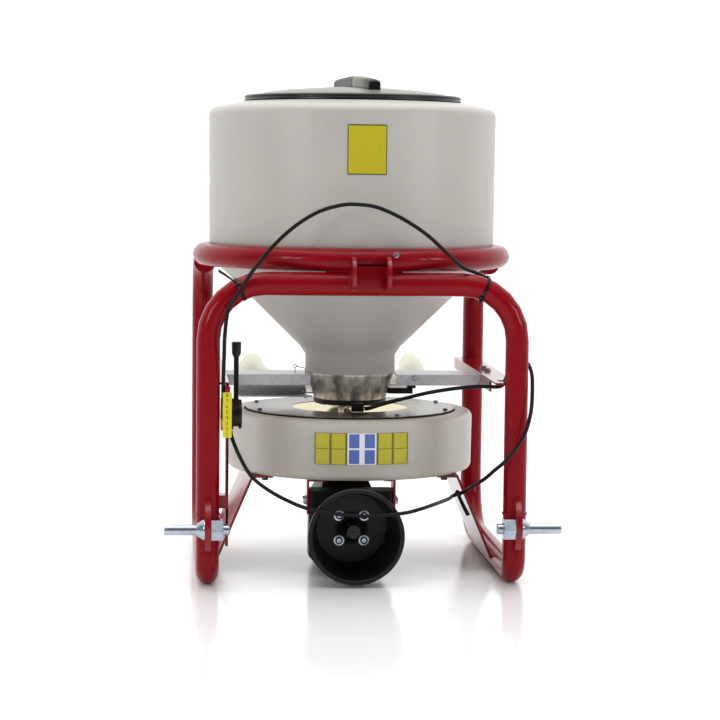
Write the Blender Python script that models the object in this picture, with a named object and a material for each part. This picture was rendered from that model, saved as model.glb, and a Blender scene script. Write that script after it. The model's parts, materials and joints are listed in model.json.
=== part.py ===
# Tractor-mounted powder spreader, modelled in Blender 4.5, in metres, +Z up.
# The tank axis is the world Z axis, the floor is z = 0, and the tractor stands on the -Y side.
import math

import bpy
import bmesh
from mathutils import Matrix, Vector

# Driving sizes of the frame
GAP = 0.0003                    # clearance between pieces that touch
TUBE_R = 0.02415                # 48.3 mm frame tube
BEND_R = 0.114                  # centreline radius of the other bends
FOOT_R = 0.038                  # short elbow at the front foot
HALF_TRACK = 0.3175             # leg centre to the middle plane
LEG_Y = 0.325                   # leg centre to the tank axis, front and rear
BAR_Z = 0.623                   # centreline of the front arch's top bar
SPLIT_Z = 0.150                 # butt weld between the arch and the side tubes
HOOP_R = 0.3215                 # centreline radius of the hoop
ARM_Z = 0.650                   # centreline of the arms that join the rear legs to the hoop
ARM_END_Y = 0.085               # front end of those arms

# Driving sizes of the tank and its lid
TANK_WALL = 0.0045
TANK_FOOT_R = 0.3095            # cylinder radius at its lower edge
TANK_TOP_R = 0.3115             # the moulding widens upwards by its draft
DECK_Z = 1.0005                 # highest part of the deck round the filling hole
SHOULDER_Z = DECK_Z - 0.0105    # top of the cylinder's rounded shoulder
CONE_SLOPE = 1.018              # growth of the cone's radius per metre of height
NECK_R = 0.0985
NECK_TOP_Z = 0.4605
NECK_END_Z = 0.4155
FILL_R = 0.205                  # filling hole
FILL_NECK_H = 0.009
LID_R = 0.2355
LID_RIM_Z = DECK_Z + 0.0020
LID_RIM_H = 0.0127
LID_DOME_H = 0.0200
LID_WALL = 0.0035
GRIP_DEG = -79.5                # the grip lies almost along the tractor's own line
GRIP_HALF = 0.0135

# Driving sizes of the outlet and the metering valve
COLLAR_TOP_R = 0.0965
COLLAR_FOOT_R = 0.0785
COLLAR_FOOT_Z = 0.3580
COLLAR_WALL = 0.0020
COLLAR_SLEEVE = 0.014           # how far the collar reaches up inside the neck
VALVE_T = 0.0022                # thickness of the fixed disc and of the shutter
VALVE_R = 0.0790
PORT_IN = 0.028
PORT_OUT = 0.062
PORT_COUNT = 3
FLANGE_T = 0.0075
FLANGE_IN = 0.066
FLANGE_OUT = 0.0800
BUSH_R = 0.010
PIVOT_HEAD_H = 0.009
LUG_T = 0.003
PORT_DEG = 30.0
SHUTTER_ARM_DEG = -14.6         # the arm points at the tractor, a little to the left

# Driving sizes of the fan
HOUSING_R = 0.2685
HOUSING_Z0 = 0.2080
HOUSING_Z1 = 0.3340
HOUSING_WALL = 0.0045
HOUSING_MOUTH_R = HOUSING_R - 0.0685
PLATE_R = HOUSING_R - 0.0363
PLATE_T = 0.0020
GASKET_T = 0.0020
GASKET_W = 0.0647                # width of the gasket's ring, in from the plate's rim
INLET_R = 0.1275
FAN_R = HOUSING_MOUTH_R - 0.010
FAN_BLADES = 8
FAN_BLADE_H = 0.080
FAN_CLEAR = 0.012               # fan disc above the housing floor
SHAFT_R = 0.0125
SHAFT_TOP_Z = 0.262
HUB_WHEEL_R = 0.032
DUCT_R = 0.040
DUCT_Z = 0.273

# Driving sizes of the drive
DRIVE_X = -0.0135               # gearbox and fan shaft to the tank axis
PTO_Z = 0.106
PTO_R = 0.01745                 # 1 3/8 inch stub shaft
PTO_END_Y = -0.293
SPLINE_LEN = 0.060
SPLINE_ROOT = 0.0147
SPLINES = 6
GEAR_TEETH = 24
PINION_TEETH = 8
GEAR_MODULE = 0.0045
GEAR_FACE = 0.018
CONE_LEN = GEAR_MODULE * math.hypot(GEAR_TEETH, PINION_TEETH) / 2.0
SHAFT_FOOT_Z = PTO_Z + 0.0420  # foot of the fan shaft, inside the pinion
SEAT_R = 0.0070
SEAT_TOP_Z = PTO_Z + 0.0602
BOX_HALF_X = 0.0885             # front block that the brackets hold
BODY_HALF_X = 0.069
BOX_Y0 = -(HOUSING_R - 0.0385)
BOX_Y1 = 0.085
BOX_Z0 = 0.020
BOX_Z1 = 0.183
BOX_WALL = 0.0085
BOX_NECK_R = 0.042
FRONT_T = 0.062
BODY_SHOULDER_Z = 0.140
BEARING_T = 0.014
INPUT_BEARING_R = 0.031
OUTPUT_BEARING_R = 0.026
SHIELD_R = 0.0995
SHIELD_FRONT_Y = BOX_Y0 - 0.130
SHIELD_WALL = 0.0035
SHIELD_BOLT_PITCH = 0.0526
BRACKET_T = 0.005
BRACKET_Y0 = BOX_Y0 + 0.004
BRACKET_Y1 = BOX_Y0 + 0.059
BRACKET_Z0 = 0.134
BRACKET_TAB = {-1: 0.043, 1: 0.025}

# Driving sizes of the rear outlets
TEE_Y = HOUSING_R + 0.1865
TEE_Z = 0.3475
TEE_R = 0.0225
TEE_HALF = 0.118
DUCT_WALL = 0.0028
NOZZLE_HALF_W = 0.030
NOZZLE_HALF_H = 0.041

# Driving sizes of the hitch
PIN_Z = 0.1255
PIN_Y = -0.375
PIN_R = 0.011                   # category 1 lower link pin
PIN_REACH = HALF_TRACK + 0.0895  # pin tip to the middle plane
PIN_INNER_X = HALF_TRACK - 0.0445  # threaded end
PIN_COLLAR_R = 0.0215
NUT_T = 0.0247
EAR_MID_Z = 0.1295
EAR_IN = HALF_TRACK - 0.0060
EAR_T = 0.0120
EAR_H = 0.115
NUT_AF = 0.041
TOP_EAR_T = 0.008
TOP_EAR_X = 0.008               # middle of the clevis to the tank axis
TOP_EAR_INNER = 0.0315           # half of the clevis' inner width
TOP_EAR_Z = 0.646
TOP_EAR_Y = -0.395
TOP_EAR_H = 0.068
EAR_NOSE = 0.025                # ear ahead of its pin
EAR_BACK_Y = -LEG_Y - 0.004
TOP_PIN_R = 0.0098

# Driving sizes of the cross members
RAIL_Z = 0.4210                 # top face of the side rails
RAIL_T = 0.0045
RAIL_IN = HALF_TRACK - 0.0428
RAIL_OUT = HALF_TRACK + 0.0075
RAIL_DROP = 0.027
GUSSET_DROP = 0.0243
CABLE_SLOT_X0 = HALF_TRACK - 0.0315  # slot in the right rail that both cables pass through
CABLE_SLOT_X1 = HALF_TRACK - 0.0035
CABLE_SLOT_Y0 = -0.2965
CABLE_SLOT_Y1 = -0.2640
RAIL_FLANGE_Y = -0.235          # front end of the rails' hanging flanges
WING_T = 0.0030
WING_Y0 = -0.090
WING_Y1 = 0.020
WING_DROP = 0.0235
WING_IN = 0.0930
WING_OUT = HALF_TRACK + 0.0025
WING_LIP_OUT = RAIL_IN - 0.0057
STAY_Z = 0.3670
STAY_X0 = -(HALF_TRACK - 0.0725)
STAY_X1 = -0.0860
STAY_Y0 = -0.0550

# Driving sizes of the side plates that carry the fan housing
SIDE_T = 0.0055
SIDE_HALF_Y = 0.165
SIDE_TOP_X = HOUSING_R - 0.0475
SIDE_FOOT_Z = 0.024
SIDE_TAB_X = HOUSING_R - 0.0935

# Driving sizes of the lever unit
LEVER_X = -(HALF_TRACK - 0.0581)
POST_X = -(HALF_TRACK - 0.0430)
LEVER_Y = -0.290
LEVER_Z = 0.3524
HUB_R = 0.0330
POST_T = 0.0060
POST_LOW_Z = 0.080
POST_FOOT_Z0 = 0.160
POST_FOOT_Z1 = 0.187
CONTROL_T = 0.0095
LEVER_T = 0.010
LEVER_HEAD_R = 0.026
LEVER_PIN_R = 0.0045
POST_HALF_Y = 0.015
SCALE_X0 = POST_X - 0.0135
SCALE_X1 = POST_X + 0.0050
SCALE_Y = -0.3380
SCALE_T = 0.0020
SCALE_Z0 = 0.3090
SCALE_Z1 = 0.4015
LEVER_LEN = 0.149
CABLE_R = 0.0040
CABLE_STEP = 0.0250
CLAMP_X0 = -0.0060
CLAMP_X1 = 0.0205

SIDES = ((-1, "left"), (1, "right"))
TUBE_SIDES = 16
BIG = 44                        # sides of the large turned pieces
MID = 32                        # sides of the smaller ones


def clear_scene():
    for item in list(bpy.data.objects):
        bpy.data.objects.remove(item, do_unlink=True)


def material(name, colour, roughness, metallic=0.0):
    made = bpy.data.materials.new(name)
    made.use_nodes = True
    shader = made.node_tree.nodes["Principled BSDF"]
    shader.inputs["Base Color"].default_value = (*colour, 1.0)
    shader.inputs["Roughness"].default_value = roughness
    shader.inputs["Metallic"].default_value = metallic
    return made


def node(name, mesh_build, finish, origin=(0.0, 0.0, 0.0)):
    """A scene object from a bmesh in world places, with its origin moved to a point."""
    bmesh.ops.recalc_face_normals(mesh_build, faces=mesh_build.faces)
    mesh_build.transform(Matrix.Translation(-Vector(origin)))
    mesh = bpy.data.meshes.new(name)
    mesh_build.to_mesh(mesh)
    mesh_build.free()
    mesh.materials.append(finish)
    mesh.shade_smooth()
    mesh.set_sharp_from_angle(angle=math.radians(32))
    made = bpy.data.objects.new(name, mesh)
    made.location = origin
    bpy.context.scene.collection.objects.link(made)
    return made


def cutter(name, mesh_build):
    made = node(name, mesh_build, bpy.data.materials.get("zinc"))
    made.hide_render = True
    made.display_type = "WIRE"
    return made


def driven(name, mesh_build, finish, origin=(0.0, 0.0, 0.0)):
    """A piece drawn about x = 0 and set on the drive's own middle plane."""
    mesh_build.transform(Matrix.Translation((DRIVE_X, 0.0, 0.0)))
    return node(name, mesh_build, finish, origin)


def driven_cutter(name, mesh_build):
    mesh_build.transform(Matrix.Translation((DRIVE_X, 0.0, 0.0)))
    return cutter(name, mesh_build)


def cut(target, tool, operation="DIFFERENCE"):
    step = target.modifiers.new("cut", "BOOLEAN")
    step.operation = operation
    step.solver = "EXACT"
    step.object = tool
    return target


def rings_to_mesh(build, rings, closed_loop=False, caps=True):
    """Faces between successive rings of points that have the same count."""
    made = [[build.verts.new(point) for point in ring] for ring in rings]
    count = len(made[0])
    pairs = list(zip(made, made[1:]))
    if closed_loop:
        pairs.append((made[-1], made[0]))
    for first, second in pairs:
        for index in range(count):
            after = (index + 1) % count
            build.faces.new((first[index], first[after], second[after], second[index]))
    if caps and not closed_loop:
        build.faces.new(made[0])
        build.faces.new(made[-1])
    return build


def circle(radius, sides, phase=0.0):
    step = 2.0 * math.pi / sides
    return [(radius * math.cos(phase + step * i), radius * math.sin(phase + step * i)) for i in range(sides)]


def lathe(profile, sides=MID, centre=(0.0, 0.0, 0.0), along="Z"):
    """A closed outline of (radius, height) pairs turned round an axis through centre."""
    build = bmesh.new()
    loops = []
    for index in range(sides):
        angle = 2.0 * math.pi * index / sides
        loop = []
        for radius, height in profile:
            a = radius * math.cos(angle)
            b = radius * math.sin(angle)
            local = {"Z": (a, b, height), "Y": (a, height, b), "X": (height, a, b)}[along]
            loop.append(Vector(centre) + Vector(local))
        loops.append(loop)
    rings_to_mesh(build, loops, closed_loop=True)
    bmesh.ops.remove_doubles(build, verts=build.verts, dist=1e-7)
    bare = [edge for edge in build.edges if not edge.link_faces]
    bmesh.ops.delete(build, geom=bare, context="EDGES")
    return build


def arc(centre_a, centre_b, radius, start, end, steps):
    """Points on an arc, with its angles in degrees."""
    points = []
    for index in range(steps + 1):
        angle = math.radians(start + (end - start) * index / steps)
        points.append((centre_a + radius * math.cos(angle), centre_b + radius * math.sin(angle)))
    return points


def box(build, low, high):
    made = bmesh.ops.create_cube(build, size=1.0)["verts"]
    size = Vector(high) - Vector(low)
    middle = (Vector(high) + Vector(low)) / 2.0
    bmesh.ops.scale(build, vec=size, verts=made)
    bmesh.ops.translate(build, vec=middle, verts=made)
    return build


def prism(build, outline, plane, low, high):
    """A closed outline pushed between two heights along X, Y or Z."""
    def place(pair, height):
        a, b = pair
        return {"X": (height, a, b), "Y": (a, height, b), "Z": (a, b, height)}[plane]
    return rings_to_mesh(build, [[place(p, low) for p in outline], [place(p, high) for p in outline]])


def rod(build, start, end, radius, sides=16, end_radius=None):
    first = Vector(start)
    axis = Vector(end) - first
    turn = axis.to_track_quat("Z", "Y")
    rings = []
    for distance, size in ((0.0, radius), (axis.length, end_radius or radius)):
        rings.append([first + turn @ Vector((a, b, distance)) for a, b in circle(size, sides)])
    return rings_to_mesh(build, rings)


def ring_disc(build, centre, axis, inner, outer, thickness, sides=24):
    """A flat ring that starts at centre and grows along axis."""
    turn = Vector(axis).to_track_quat("Z", "Y")
    base = Vector(centre)
    loops = []
    for radius, height in ((inner, 0.0), (outer, 0.0), (outer, thickness), (inner, thickness)):
        loops.append([base + turn @ Vector((a, b, height)) for a, b in circle(radius, sides)])
    return rings_to_mesh(build, loops, closed_loop=True)


def sweep(build, points, radius, sides=16, side_axis=None, wall=None, taper=None, phase=0.0):
    """A tube along points. taper gives (across, up) half sizes at each point, wall makes it hollow."""
    path = [Vector(point) for point in points]
    tangents = []
    for index in range(len(path)):
        ahead = path[min(index + 1, len(path) - 1)]
        behind = path[max(index - 1, 0)]
        tangents.append((ahead - behind).normalized())
    across = Vector(side_axis) if side_axis else tangents[0].orthogonal()
    outer = []
    inner = []
    for index, point in enumerate(path):
        across = (across - tangents[index] * across.dot(tangents[index])).normalized()
        up = tangents[index].cross(across)
        wide, high = taper[index] if taper else (radius, radius)
        outer.append([point + across * (a * wide) + up * (b * high) for a, b in circle(1.0, sides, phase)])
        if wall:
            inner.append([point + across * (a * (wide - wall)) + up * (b * (high - wall))
                          for a, b in circle(1.0, sides, phase)])
    if wall:
        return rings_to_mesh(build, outer + inner[::-1], closed_loop=True)
    return rings_to_mesh(build, outer)


def bend_points(corners, radii, steps=6):
    """A path through corners with each inner corner rounded to its own radius."""
    points = [Vector(corners[0])]
    for before, here, after, radius in zip(corners, corners[1:], corners[2:], radii):
        corner = Vector(here)
        into = (corner - Vector(before)).normalized()
        out = (Vector(after) - corner).normalized()
        half = into.angle(out) / 2.0
        setback = radius * math.tan(half)
        start = corner - into * setback
        inward = (out - into).normalized()
        centre = corner + inward * (radius / math.cos(half))
        spoke = start - centre
        axis = into.cross(out).normalized()
        for index in range(steps + 1):
            turn = Matrix.Rotation(2.0 * half * index / steps, 3, axis)
            points.append(centre + turn @ spoke)
    points.append(Vector(corners[-1]))
    return points


def smooth_route(points, spacing):
    """Even points on a smooth curve through the route's own points."""
    route = [Vector(p) for p in points]
    ghost = [route[0] * 2 - route[1]] + route + [route[-1] * 2 - route[-2]]
    dense = []
    for index in range(1, len(ghost) - 2):
        a, b, c, d = ghost[index - 1:index + 3]
        for step in range(24):
            t = step / 24.0
            dense.append(0.5 * ((2 * b) + (c - a) * t + (2 * a - 5 * b + 4 * c - d) * t * t
                                + (3 * b - a - 3 * c + d) * t ** 3))
    dense.append(route[-1])
    lengths = [0.0]
    for first, second in zip(dense, dense[1:]):
        lengths.append(lengths[-1] + (second - first).length)
    count = max(2, round(lengths[-1] / spacing))
    even = []
    place = 0
    for index in range(count + 1):
        want = lengths[-1] * index / count
        while place < len(lengths) - 2 and lengths[place + 1] < want:
            place += 1
        span = lengths[place + 1] - lengths[place]
        share = (want - lengths[place]) / span if span else 0.0
        even.append(dense[place].lerp(dense[place + 1], share))
    return even


def hex_reach(angle, across_flats):
    """Distance from a hexagon's middle to its edge at an angle."""
    off = (angle % (math.pi / 3.0)) - math.pi / 6.0
    return across_flats / 2.0 / math.cos(off)


def bolt(build, seat, axis, size, grip, washer=True):
    """A hexagon bolt whose washer seats at a point and whose shank runs back along -axis."""
    up = Vector(axis).normalized()
    place = Vector(seat)
    turn = up.to_track_quat("Z", "Y")
    sides = 12
    washer_t = size * 0.2 if washer else 0.0
    head = size * 0.65
    sections = []
    sections.append((size / 2.0, -grip))
    sections.append((size / 2.0, 0.0))
    if washer:
        sections.append((size * 1.05, 0.0))
        sections.append((size * 1.05, washer_t))
    rings = []
    for radius, height in sections:
        rings.append([place + turn @ Vector((a, b, height)) for a, b in circle(radius, sides)])
    flats = size * 1.5
    for height in (washer_t, washer_t + head):
        loop = []
        for index in range(sides):
            angle = 2.0 * math.pi * index / sides
            reach = hex_reach(angle, flats)
            loop.append(place + turn @ Vector((reach * math.cos(angle), reach * math.sin(angle), height)))
        rings.append(loop)
    return rings_to_mesh(build, rings)


clear_scene()
RED = material("red_paint", (0.42, 0.012, 0.018), 0.32)
ZINC = material("zinc", (0.62, 0.64, 0.68), 0.35, 0.9)
GALVANISED = material("galvanised", (0.55, 0.57, 0.60), 0.45, 0.85)
STEEL = material("bare_steel", (0.45, 0.44, 0.42), 0.35, 1.0)
TANK_PE = material("white_polyethylene", (0.78, 0.77, 0.72), 0.45)
NOZZLE_PE = material("natural_polyethylene", (0.70, 0.70, 0.58), 0.45)
BLACK = material("black_plastic", (0.02, 0.02, 0.022), 0.45)
LID_GREY = material("dark_grey_plastic", (0.06, 0.06, 0.065), 0.5)
CAST = material("black_cast_iron", (0.025, 0.025, 0.027), 0.5, 0.3)
RUBBER = material("black_rubber", (0.02, 0.02, 0.02), 0.8)
BRASS = material("brass", (0.55, 0.38, 0.14), 0.35, 1.0)
YELLOW = material("yellow_plate", (0.80, 0.72, 0.03), 0.5)


# Hoop and frame tubes
HOOP_Z = BAR_Z + 2.0 * TUBE_R + GAP


def hoop_mesh(radius, sides):
    profile = [(HOOP_R + a, HOOP_Z + b) for a, b in circle(radius, sides)]
    return lathe(profile, BIG)


node("hoop_ring", hoop_mesh(TUBE_R, 12), RED)

arch_path = bend_points([(-HALF_TRACK, -LEG_Y, SPLIT_Z + GAP), (-HALF_TRACK, -LEG_Y, BAR_Z),
                         (HALF_TRACK, -LEG_Y, BAR_Z), (HALF_TRACK, -LEG_Y, SPLIT_Z + GAP)], (BEND_R, BEND_R))
node("front_arch", sweep(bmesh.new(), arch_path, TUBE_R, 16, (0, 1, 0)), RED)


RUNNER_Z = TUBE_R * math.cos(math.pi / TUBE_SIDES)  # a facet of the runner lies flat on the floor


def side_path(side):
    x = side * HALF_TRACK
    return bend_points([(x, -LEG_Y, SPLIT_Z), (x, -LEG_Y, RUNNER_Z), (x, LEG_Y, RUNNER_Z),
                        (x, LEG_Y, ARM_Z), (x, ARM_END_Y, ARM_Z)], (FOOT_R, BEND_R, BEND_R))


FACET = math.pi / TUBE_SIDES
hoop_cutter = cutter("hoop_cutter", hoop_mesh(TUBE_R + GAP, 12))
side_cutters = {}
for side, word in SIDES:
    build = sweep(bmesh.new(), side_path(side), TUBE_R, TUBE_SIDES, (1, 0, 0), phase=FACET)
    tube = node(f"side_tube_{word}", build, RED)
    cut(tube, hoop_cutter)
    build = sweep(bmesh.new(), side_path(side), TUBE_R + GAP, TUBE_SIDES, (1, 0, 0), phase=FACET)
    side_cutters[side] = cutter(f"side_cutter_{word}", build)
arch_cutter = cutter("arch_cutter", sweep(bmesh.new(), arch_path, TUBE_R + GAP, 16, (0, 1, 0)))


# Top link clevis: two ears, coped onto the bar and the hoop
def ear_outline(y_back, y_front, z_mid, half_high):
    """A plate seen from the side, with a round nose towards the tractor."""
    nose = arc(y_front + half_high, z_mid, half_high, 270, 90, 10)
    return nose + [(y_back, z_mid + half_high), (y_back, z_mid - half_high)]


top_hole = cutter("top_link_hole", rod(bmesh.new(), (TOP_EAR_X - 0.06, TOP_EAR_Y, TOP_EAR_Z),
                                       (TOP_EAR_X + 0.06, TOP_EAR_Y, TOP_EAR_Z), TOP_PIN_R, 24))
for side, word in SIDES:
    inner = TOP_EAR_X + side * TOP_EAR_INNER
    outer = TOP_EAR_X + side * (TOP_EAR_INNER + TOP_EAR_T)
    build = prism(bmesh.new(), ear_outline(EAR_BACK_Y, TOP_EAR_Y - EAR_NOSE, TOP_EAR_Z, TOP_EAR_H / 2.0), "X",
                  min(inner, outer), max(inner, outer))
    ear = node(f"top_link_ear_{word}", build, RED)
    cut(ear, hoop_cutter)
    cut(ear, arch_cutter)
    cut(ear, top_hole)


# Lower link ears, pins and nuts
for side, word in SIDES:
    low = side * EAR_IN
    high = side * (EAR_IN + EAR_T)
    build = prism(bmesh.new(), ear_outline(EAR_BACK_Y, PIN_Y - EAR_NOSE, EAR_MID_Z, EAR_H / 2.0), "X",
                  min(low, high), max(low, high))
    ear = node(f"lower_link_ear_{word}", build, RED)
    cut(ear, side_cutters[side])
    cut(ear, arch_cutter)
    cut(ear, cutter(f"pin_hole_{word}", rod(bmesh.new(), (low - side * 0.01, PIN_Y, PIN_Z),
                                            (high + side * 0.01, PIN_Y, PIN_Z), PIN_R + GAP, 24)))
    seat = EAR_IN + EAR_T + GAP
    profile = [(0.0, PIN_INNER_X), (PIN_R * 0.82, PIN_INNER_X), (PIN_R, PIN_INNER_X + 0.002), (PIN_R, seat),
               (PIN_COLLAR_R, seat), (PIN_COLLAR_R, seat + 0.003), (PIN_R + 0.001, seat + 0.0167),
               (PIN_R, seat + 0.0167), (PIN_R, PIN_REACH - 0.002), (PIN_R - 0.002, PIN_REACH), (0.0, PIN_REACH)]
    turned = [(radius, side * height) for radius, height in profile]
    node(f"lower_link_pin_{word}", lathe(turned, 16, (0, PIN_Y, PIN_Z), "X"), ZINC)
    inner_x = side * (EAR_IN - GAP)
    outer_x = side * (EAR_IN - GAP - NUT_T)
    bore_ring = circle(PIN_R + GAP, 18)
    hexed = []
    for place, hexagonal in ((inner_x, False), (inner_x, True), (outer_x, True), (outer_x, False)):
        points = []
        for a, b in bore_ring:
            reach = hex_reach(math.atan2(b, a), NUT_AF) / (PIN_R + GAP) if hexagonal else 1.0
            points.append((place, PIN_Y + a * reach, PIN_Z + b * reach))
        hexed.append(points)
    node(f"lower_link_nut_{word}", rings_to_mesh(bmesh.new(), hexed, closed_loop=True), ZINC)


# Side rails of red angle between the legs, each with a gusset at its front end
for side, word in SIDES:
    outline = [(side * RAIL_IN, RAIL_Z - RAIL_DROP), (side * (RAIL_IN + RAIL_T), RAIL_Z - RAIL_DROP),
               (side * (RAIL_IN + RAIL_T), RAIL_Z - RAIL_T), (side * RAIL_OUT, RAIL_Z - RAIL_T),
               (side * RAIL_OUT, RAIL_Z), (side * RAIL_IN, RAIL_Z)]
    rail = node(f"side_rail_{word}", prism(bmesh.new(), outline, "Y", -LEG_Y, LEG_Y), RED)
    cut(rail, side_cutters[side])
    low_x = min(side * (RAIL_IN - 0.01), side * (RAIL_OUT + 0.01))
    high_x = max(side * (RAIL_IN - 0.01), side * (RAIL_OUT + 0.01))
    under = RAIL_Z - RAIL_T
    notches = box(bmesh.new(), (low_x, -LEG_Y - 0.01, under - 0.05), (high_x, RAIL_FLANGE_Y, under))
    box(notches, (low_x, WING_Y0 - GAP, under - 0.05), (high_x, WING_Y1 + GAP, under))
    cut(rail, cutter(f"rail_notches_{word}", notches))
    gusset_low = under - GUSSET_DROP
    gusset = [(-LEG_Y + 0.002, under + 0.001), (-LEG_Y + 0.002, gusset_low), (-LEG_Y + 0.030, gusset_low),
              (-LEG_Y + 0.046, under + 0.001)]
    gusset_x = sorted((side * (HALF_TRACK + 0.0005), side * (HALF_TRACK + 0.0055)))
    brace = prism(bmesh.new(), gusset, "X", *gusset_x)
    cut(rail, cutter(f"rail_gusset_{word}", brace), "UNION")
    cut(rail, arch_cutter)

slot = box(bmesh.new(), (CABLE_SLOT_X0, CABLE_SLOT_Y0, RAIL_Z - 0.01),
           (CABLE_SLOT_X1, CABLE_SLOT_Y1, RAIL_Z + 0.01))
cut(bpy.data.objects["side_rail_right"], cutter("cable_slot", slot))

# Galvanised wings from the tank's neck to the rails, each an angle
wing_top = RAIL_Z - RAIL_T - GAP
neck_cutter = cutter("neck_cutter", rod(bmesh.new(), (0, 0, 0.30), (0, 0, 0.50), NECK_R + GAP, BIG))
for side, word in SIDES:
    outline = [(WING_Y0, wing_top - WING_DROP), (WING_Y0 + WING_T, wing_top - WING_DROP),
               (WING_Y0 + WING_T, wing_top - WING_T), (WING_Y1, wing_top - WING_T), (WING_Y1, wing_top),
               (WING_Y0, wing_top)]
    wing = node(f"wing_{word}", prism(bmesh.new(), outline, "X", min(side * WING_IN, side * WING_OUT),
                                      max(side * WING_IN, side * WING_OUT)), GALVANISED)
    cut(wing, neck_cutter)
    slant = [(side * WING_LIP_OUT, wing_top - WING_DROP - 0.01),
             (side * (WING_LIP_OUT + 0.008), wing_top - WING_T), (side * (WING_OUT + 0.02), wing_top - WING_T),
             (side * (WING_OUT + 0.02), wing_top - WING_DROP - 0.01)]
    cut(wing, cutter(f"wing_end_{word}", prism(bmesh.new(), slant, "Y", WING_Y0 - 0.01, WING_Y1 + 0.01)))


# Tank, a hollow moulding from the filling hole down to the neck's end
def tank_outline(shrink):
    """Outer side of the tank from the filling hole down, or its inner side when shrunk by the wall."""
    seat = TUBE_R * 1.01 + GAP
    points = [(FILL_R + TANK_WALL - shrink, DECK_Z + FILL_NECK_H)]
    points.append((FILL_R + TANK_WALL - shrink, DECK_Z + 0.0015 - shrink))
    points.append((0.245, DECK_Z - shrink))
    points.append((TANK_TOP_R - 0.018, SHOULDER_Z - shrink))
    points += arc(TANK_TOP_R - 0.018, SHOULDER_Z - 0.018, 0.018 - shrink, 80, 0, 3)
    points.append((TANK_FOOT_R - shrink, 0.700))
    if shrink:
        low = HOOP_Z - seat * 0.35
        points.append((HOOP_R - seat - shrink, HOOP_Z + seat * 0.5))
    else:
        points += arc(HOOP_R, HOOP_Z, seat, 122, 180, 4)
        low = HOOP_Z - seat * 0.75
    wide = HOOP_R - seat - shrink
    points.append((wide, low + shrink * 0.4))
    cone_top = NECK_TOP_Z + (wide - 0.008 - NECK_R + shrink) / CONE_SLOPE
    points.append((wide - 0.008, cone_top))
    points.append((NECK_R + 0.012 - shrink * 0.3, NECK_TOP_Z + 0.012 / CONE_SLOPE + shrink * 0.7))
    points.append((NECK_R - shrink, NECK_TOP_Z - 0.006))
    points.append((NECK_R - shrink, NECK_END_Z))
    return points


tank_profile = tank_outline(0.0) + tank_outline(TANK_WALL)[::-1]
node("tank", lathe(tank_profile, BIG), TANK_PE)


# Lid: a domed cap whose rim stands over the filling neck, with a moulded bar grip
lid_top = LID_RIM_Z + LID_RIM_H
dome = [(0.0, lid_top + LID_DOME_H), (0.066, lid_top + LID_DOME_H - 0.0020), (0.110, lid_top + LID_DOME_H - 0.0050),
        (0.153, lid_top + LID_DOME_H - 0.0085), (0.190, lid_top + 0.0068), (0.214, lid_top + 0.0006)]
rim = [(LID_R - 0.003, lid_top), (LID_R, lid_top - 0.0025), (LID_R, lid_top - 0.0052),
       (LID_R - 0.002, lid_top - 0.0060), (LID_R - 0.002, lid_top - 0.0070), (LID_R, lid_top - 0.0078),
       (LID_R, LID_RIM_Z + 0.001), (LID_R - 0.002, LID_RIM_Z)]
under = [(LID_R - 0.006, LID_RIM_Z), (LID_R - 0.006, lid_top - 0.004), (0.214, lid_top - LID_WALL),
         (0.153, lid_top + LID_DOME_H - 0.0085 - LID_WALL), (0.066, lid_top + LID_DOME_H - 0.0020 - LID_WALL),
         (0.0, lid_top + LID_DOME_H - LID_WALL)]
LID_AXIS = (0.0, 0.0, LID_RIM_Z)
node("lid", lathe(dome + rim + under, BIG), BLACK, LID_AXIS)


def dome_z(radius):
    """Height of the lid's outer side at a distance from its middle."""
    for (near, high), (far, low) in zip(dome, dome[1:]):
        if radius <= far:
            return high + (low - high) * (radius - near) / (far - near)
    return lid_top


def grip_mesh():
    """The long bar grip as a loft of upright sections along its length."""
    build = bmesh.new()
    turn = Matrix.Rotation(math.radians(GRIP_DEG), 3, "Z")
    sections = [(-0.115, 0.85, 0.0200), (-0.110, 1.0, 0.0255), (-0.066, 1.0, 0.0245), (0.0, 1.0, 0.0240),
                (0.066, 1.0, 0.0235), (0.110, 1.0, 0.0225), (0.153, 1.0, 0.0212), (0.171, 1.0, 0.0200),
                (0.175, 0.85, 0.0175)]
    rings = []
    for along, share, height in sections:
        half = GRIP_HALF * share
        foot = dome_z(abs(along)) + GAP
        shape = [(-half, 0.0), (-half, height * 0.70), (-half * 0.75, height * 0.92), (0.0, height),
                 (half * 0.75, height * 0.92), (half, height * 0.70), (half, 0.0)]
        rings.append([turn @ Vector((along, across, foot + up)) for across, up in shape])
    return rings_to_mesh(build, rings)


node("lid_grip", grip_mesh(), LID_GREY, LID_AXIS)

# Seal between the lid and the tank's filling neck
seal_z = DECK_Z + FILL_NECK_H + GAP
node("lid_seal", lathe([(FILL_R, seal_z), (FILL_R + TANK_WALL, seal_z), (FILL_R + TANK_WALL, seal_z + 0.0018),
                        (FILL_R, seal_z + 0.0018)]), RUBBER)


# Metal collar under the neck
collar_in = NECK_R - TANK_WALL - GAP
collar_step = NECK_END_Z - GAP
collar_profile = [(collar_in, collar_step + COLLAR_SLEEVE), (collar_in, collar_step), (COLLAR_TOP_R, collar_step),
                  (COLLAR_TOP_R, collar_step - 0.004), (COLLAR_FOOT_R, COLLAR_FOOT_Z),
                  (COLLAR_FOOT_R - COLLAR_WALL, COLLAR_FOOT_Z), (collar_in - COLLAR_WALL, collar_step - 0.006),
                  (collar_in - COLLAR_WALL, collar_step + COLLAR_SLEEVE)]
collar = node("outlet_collar", lathe(collar_profile), STEEL)


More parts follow.
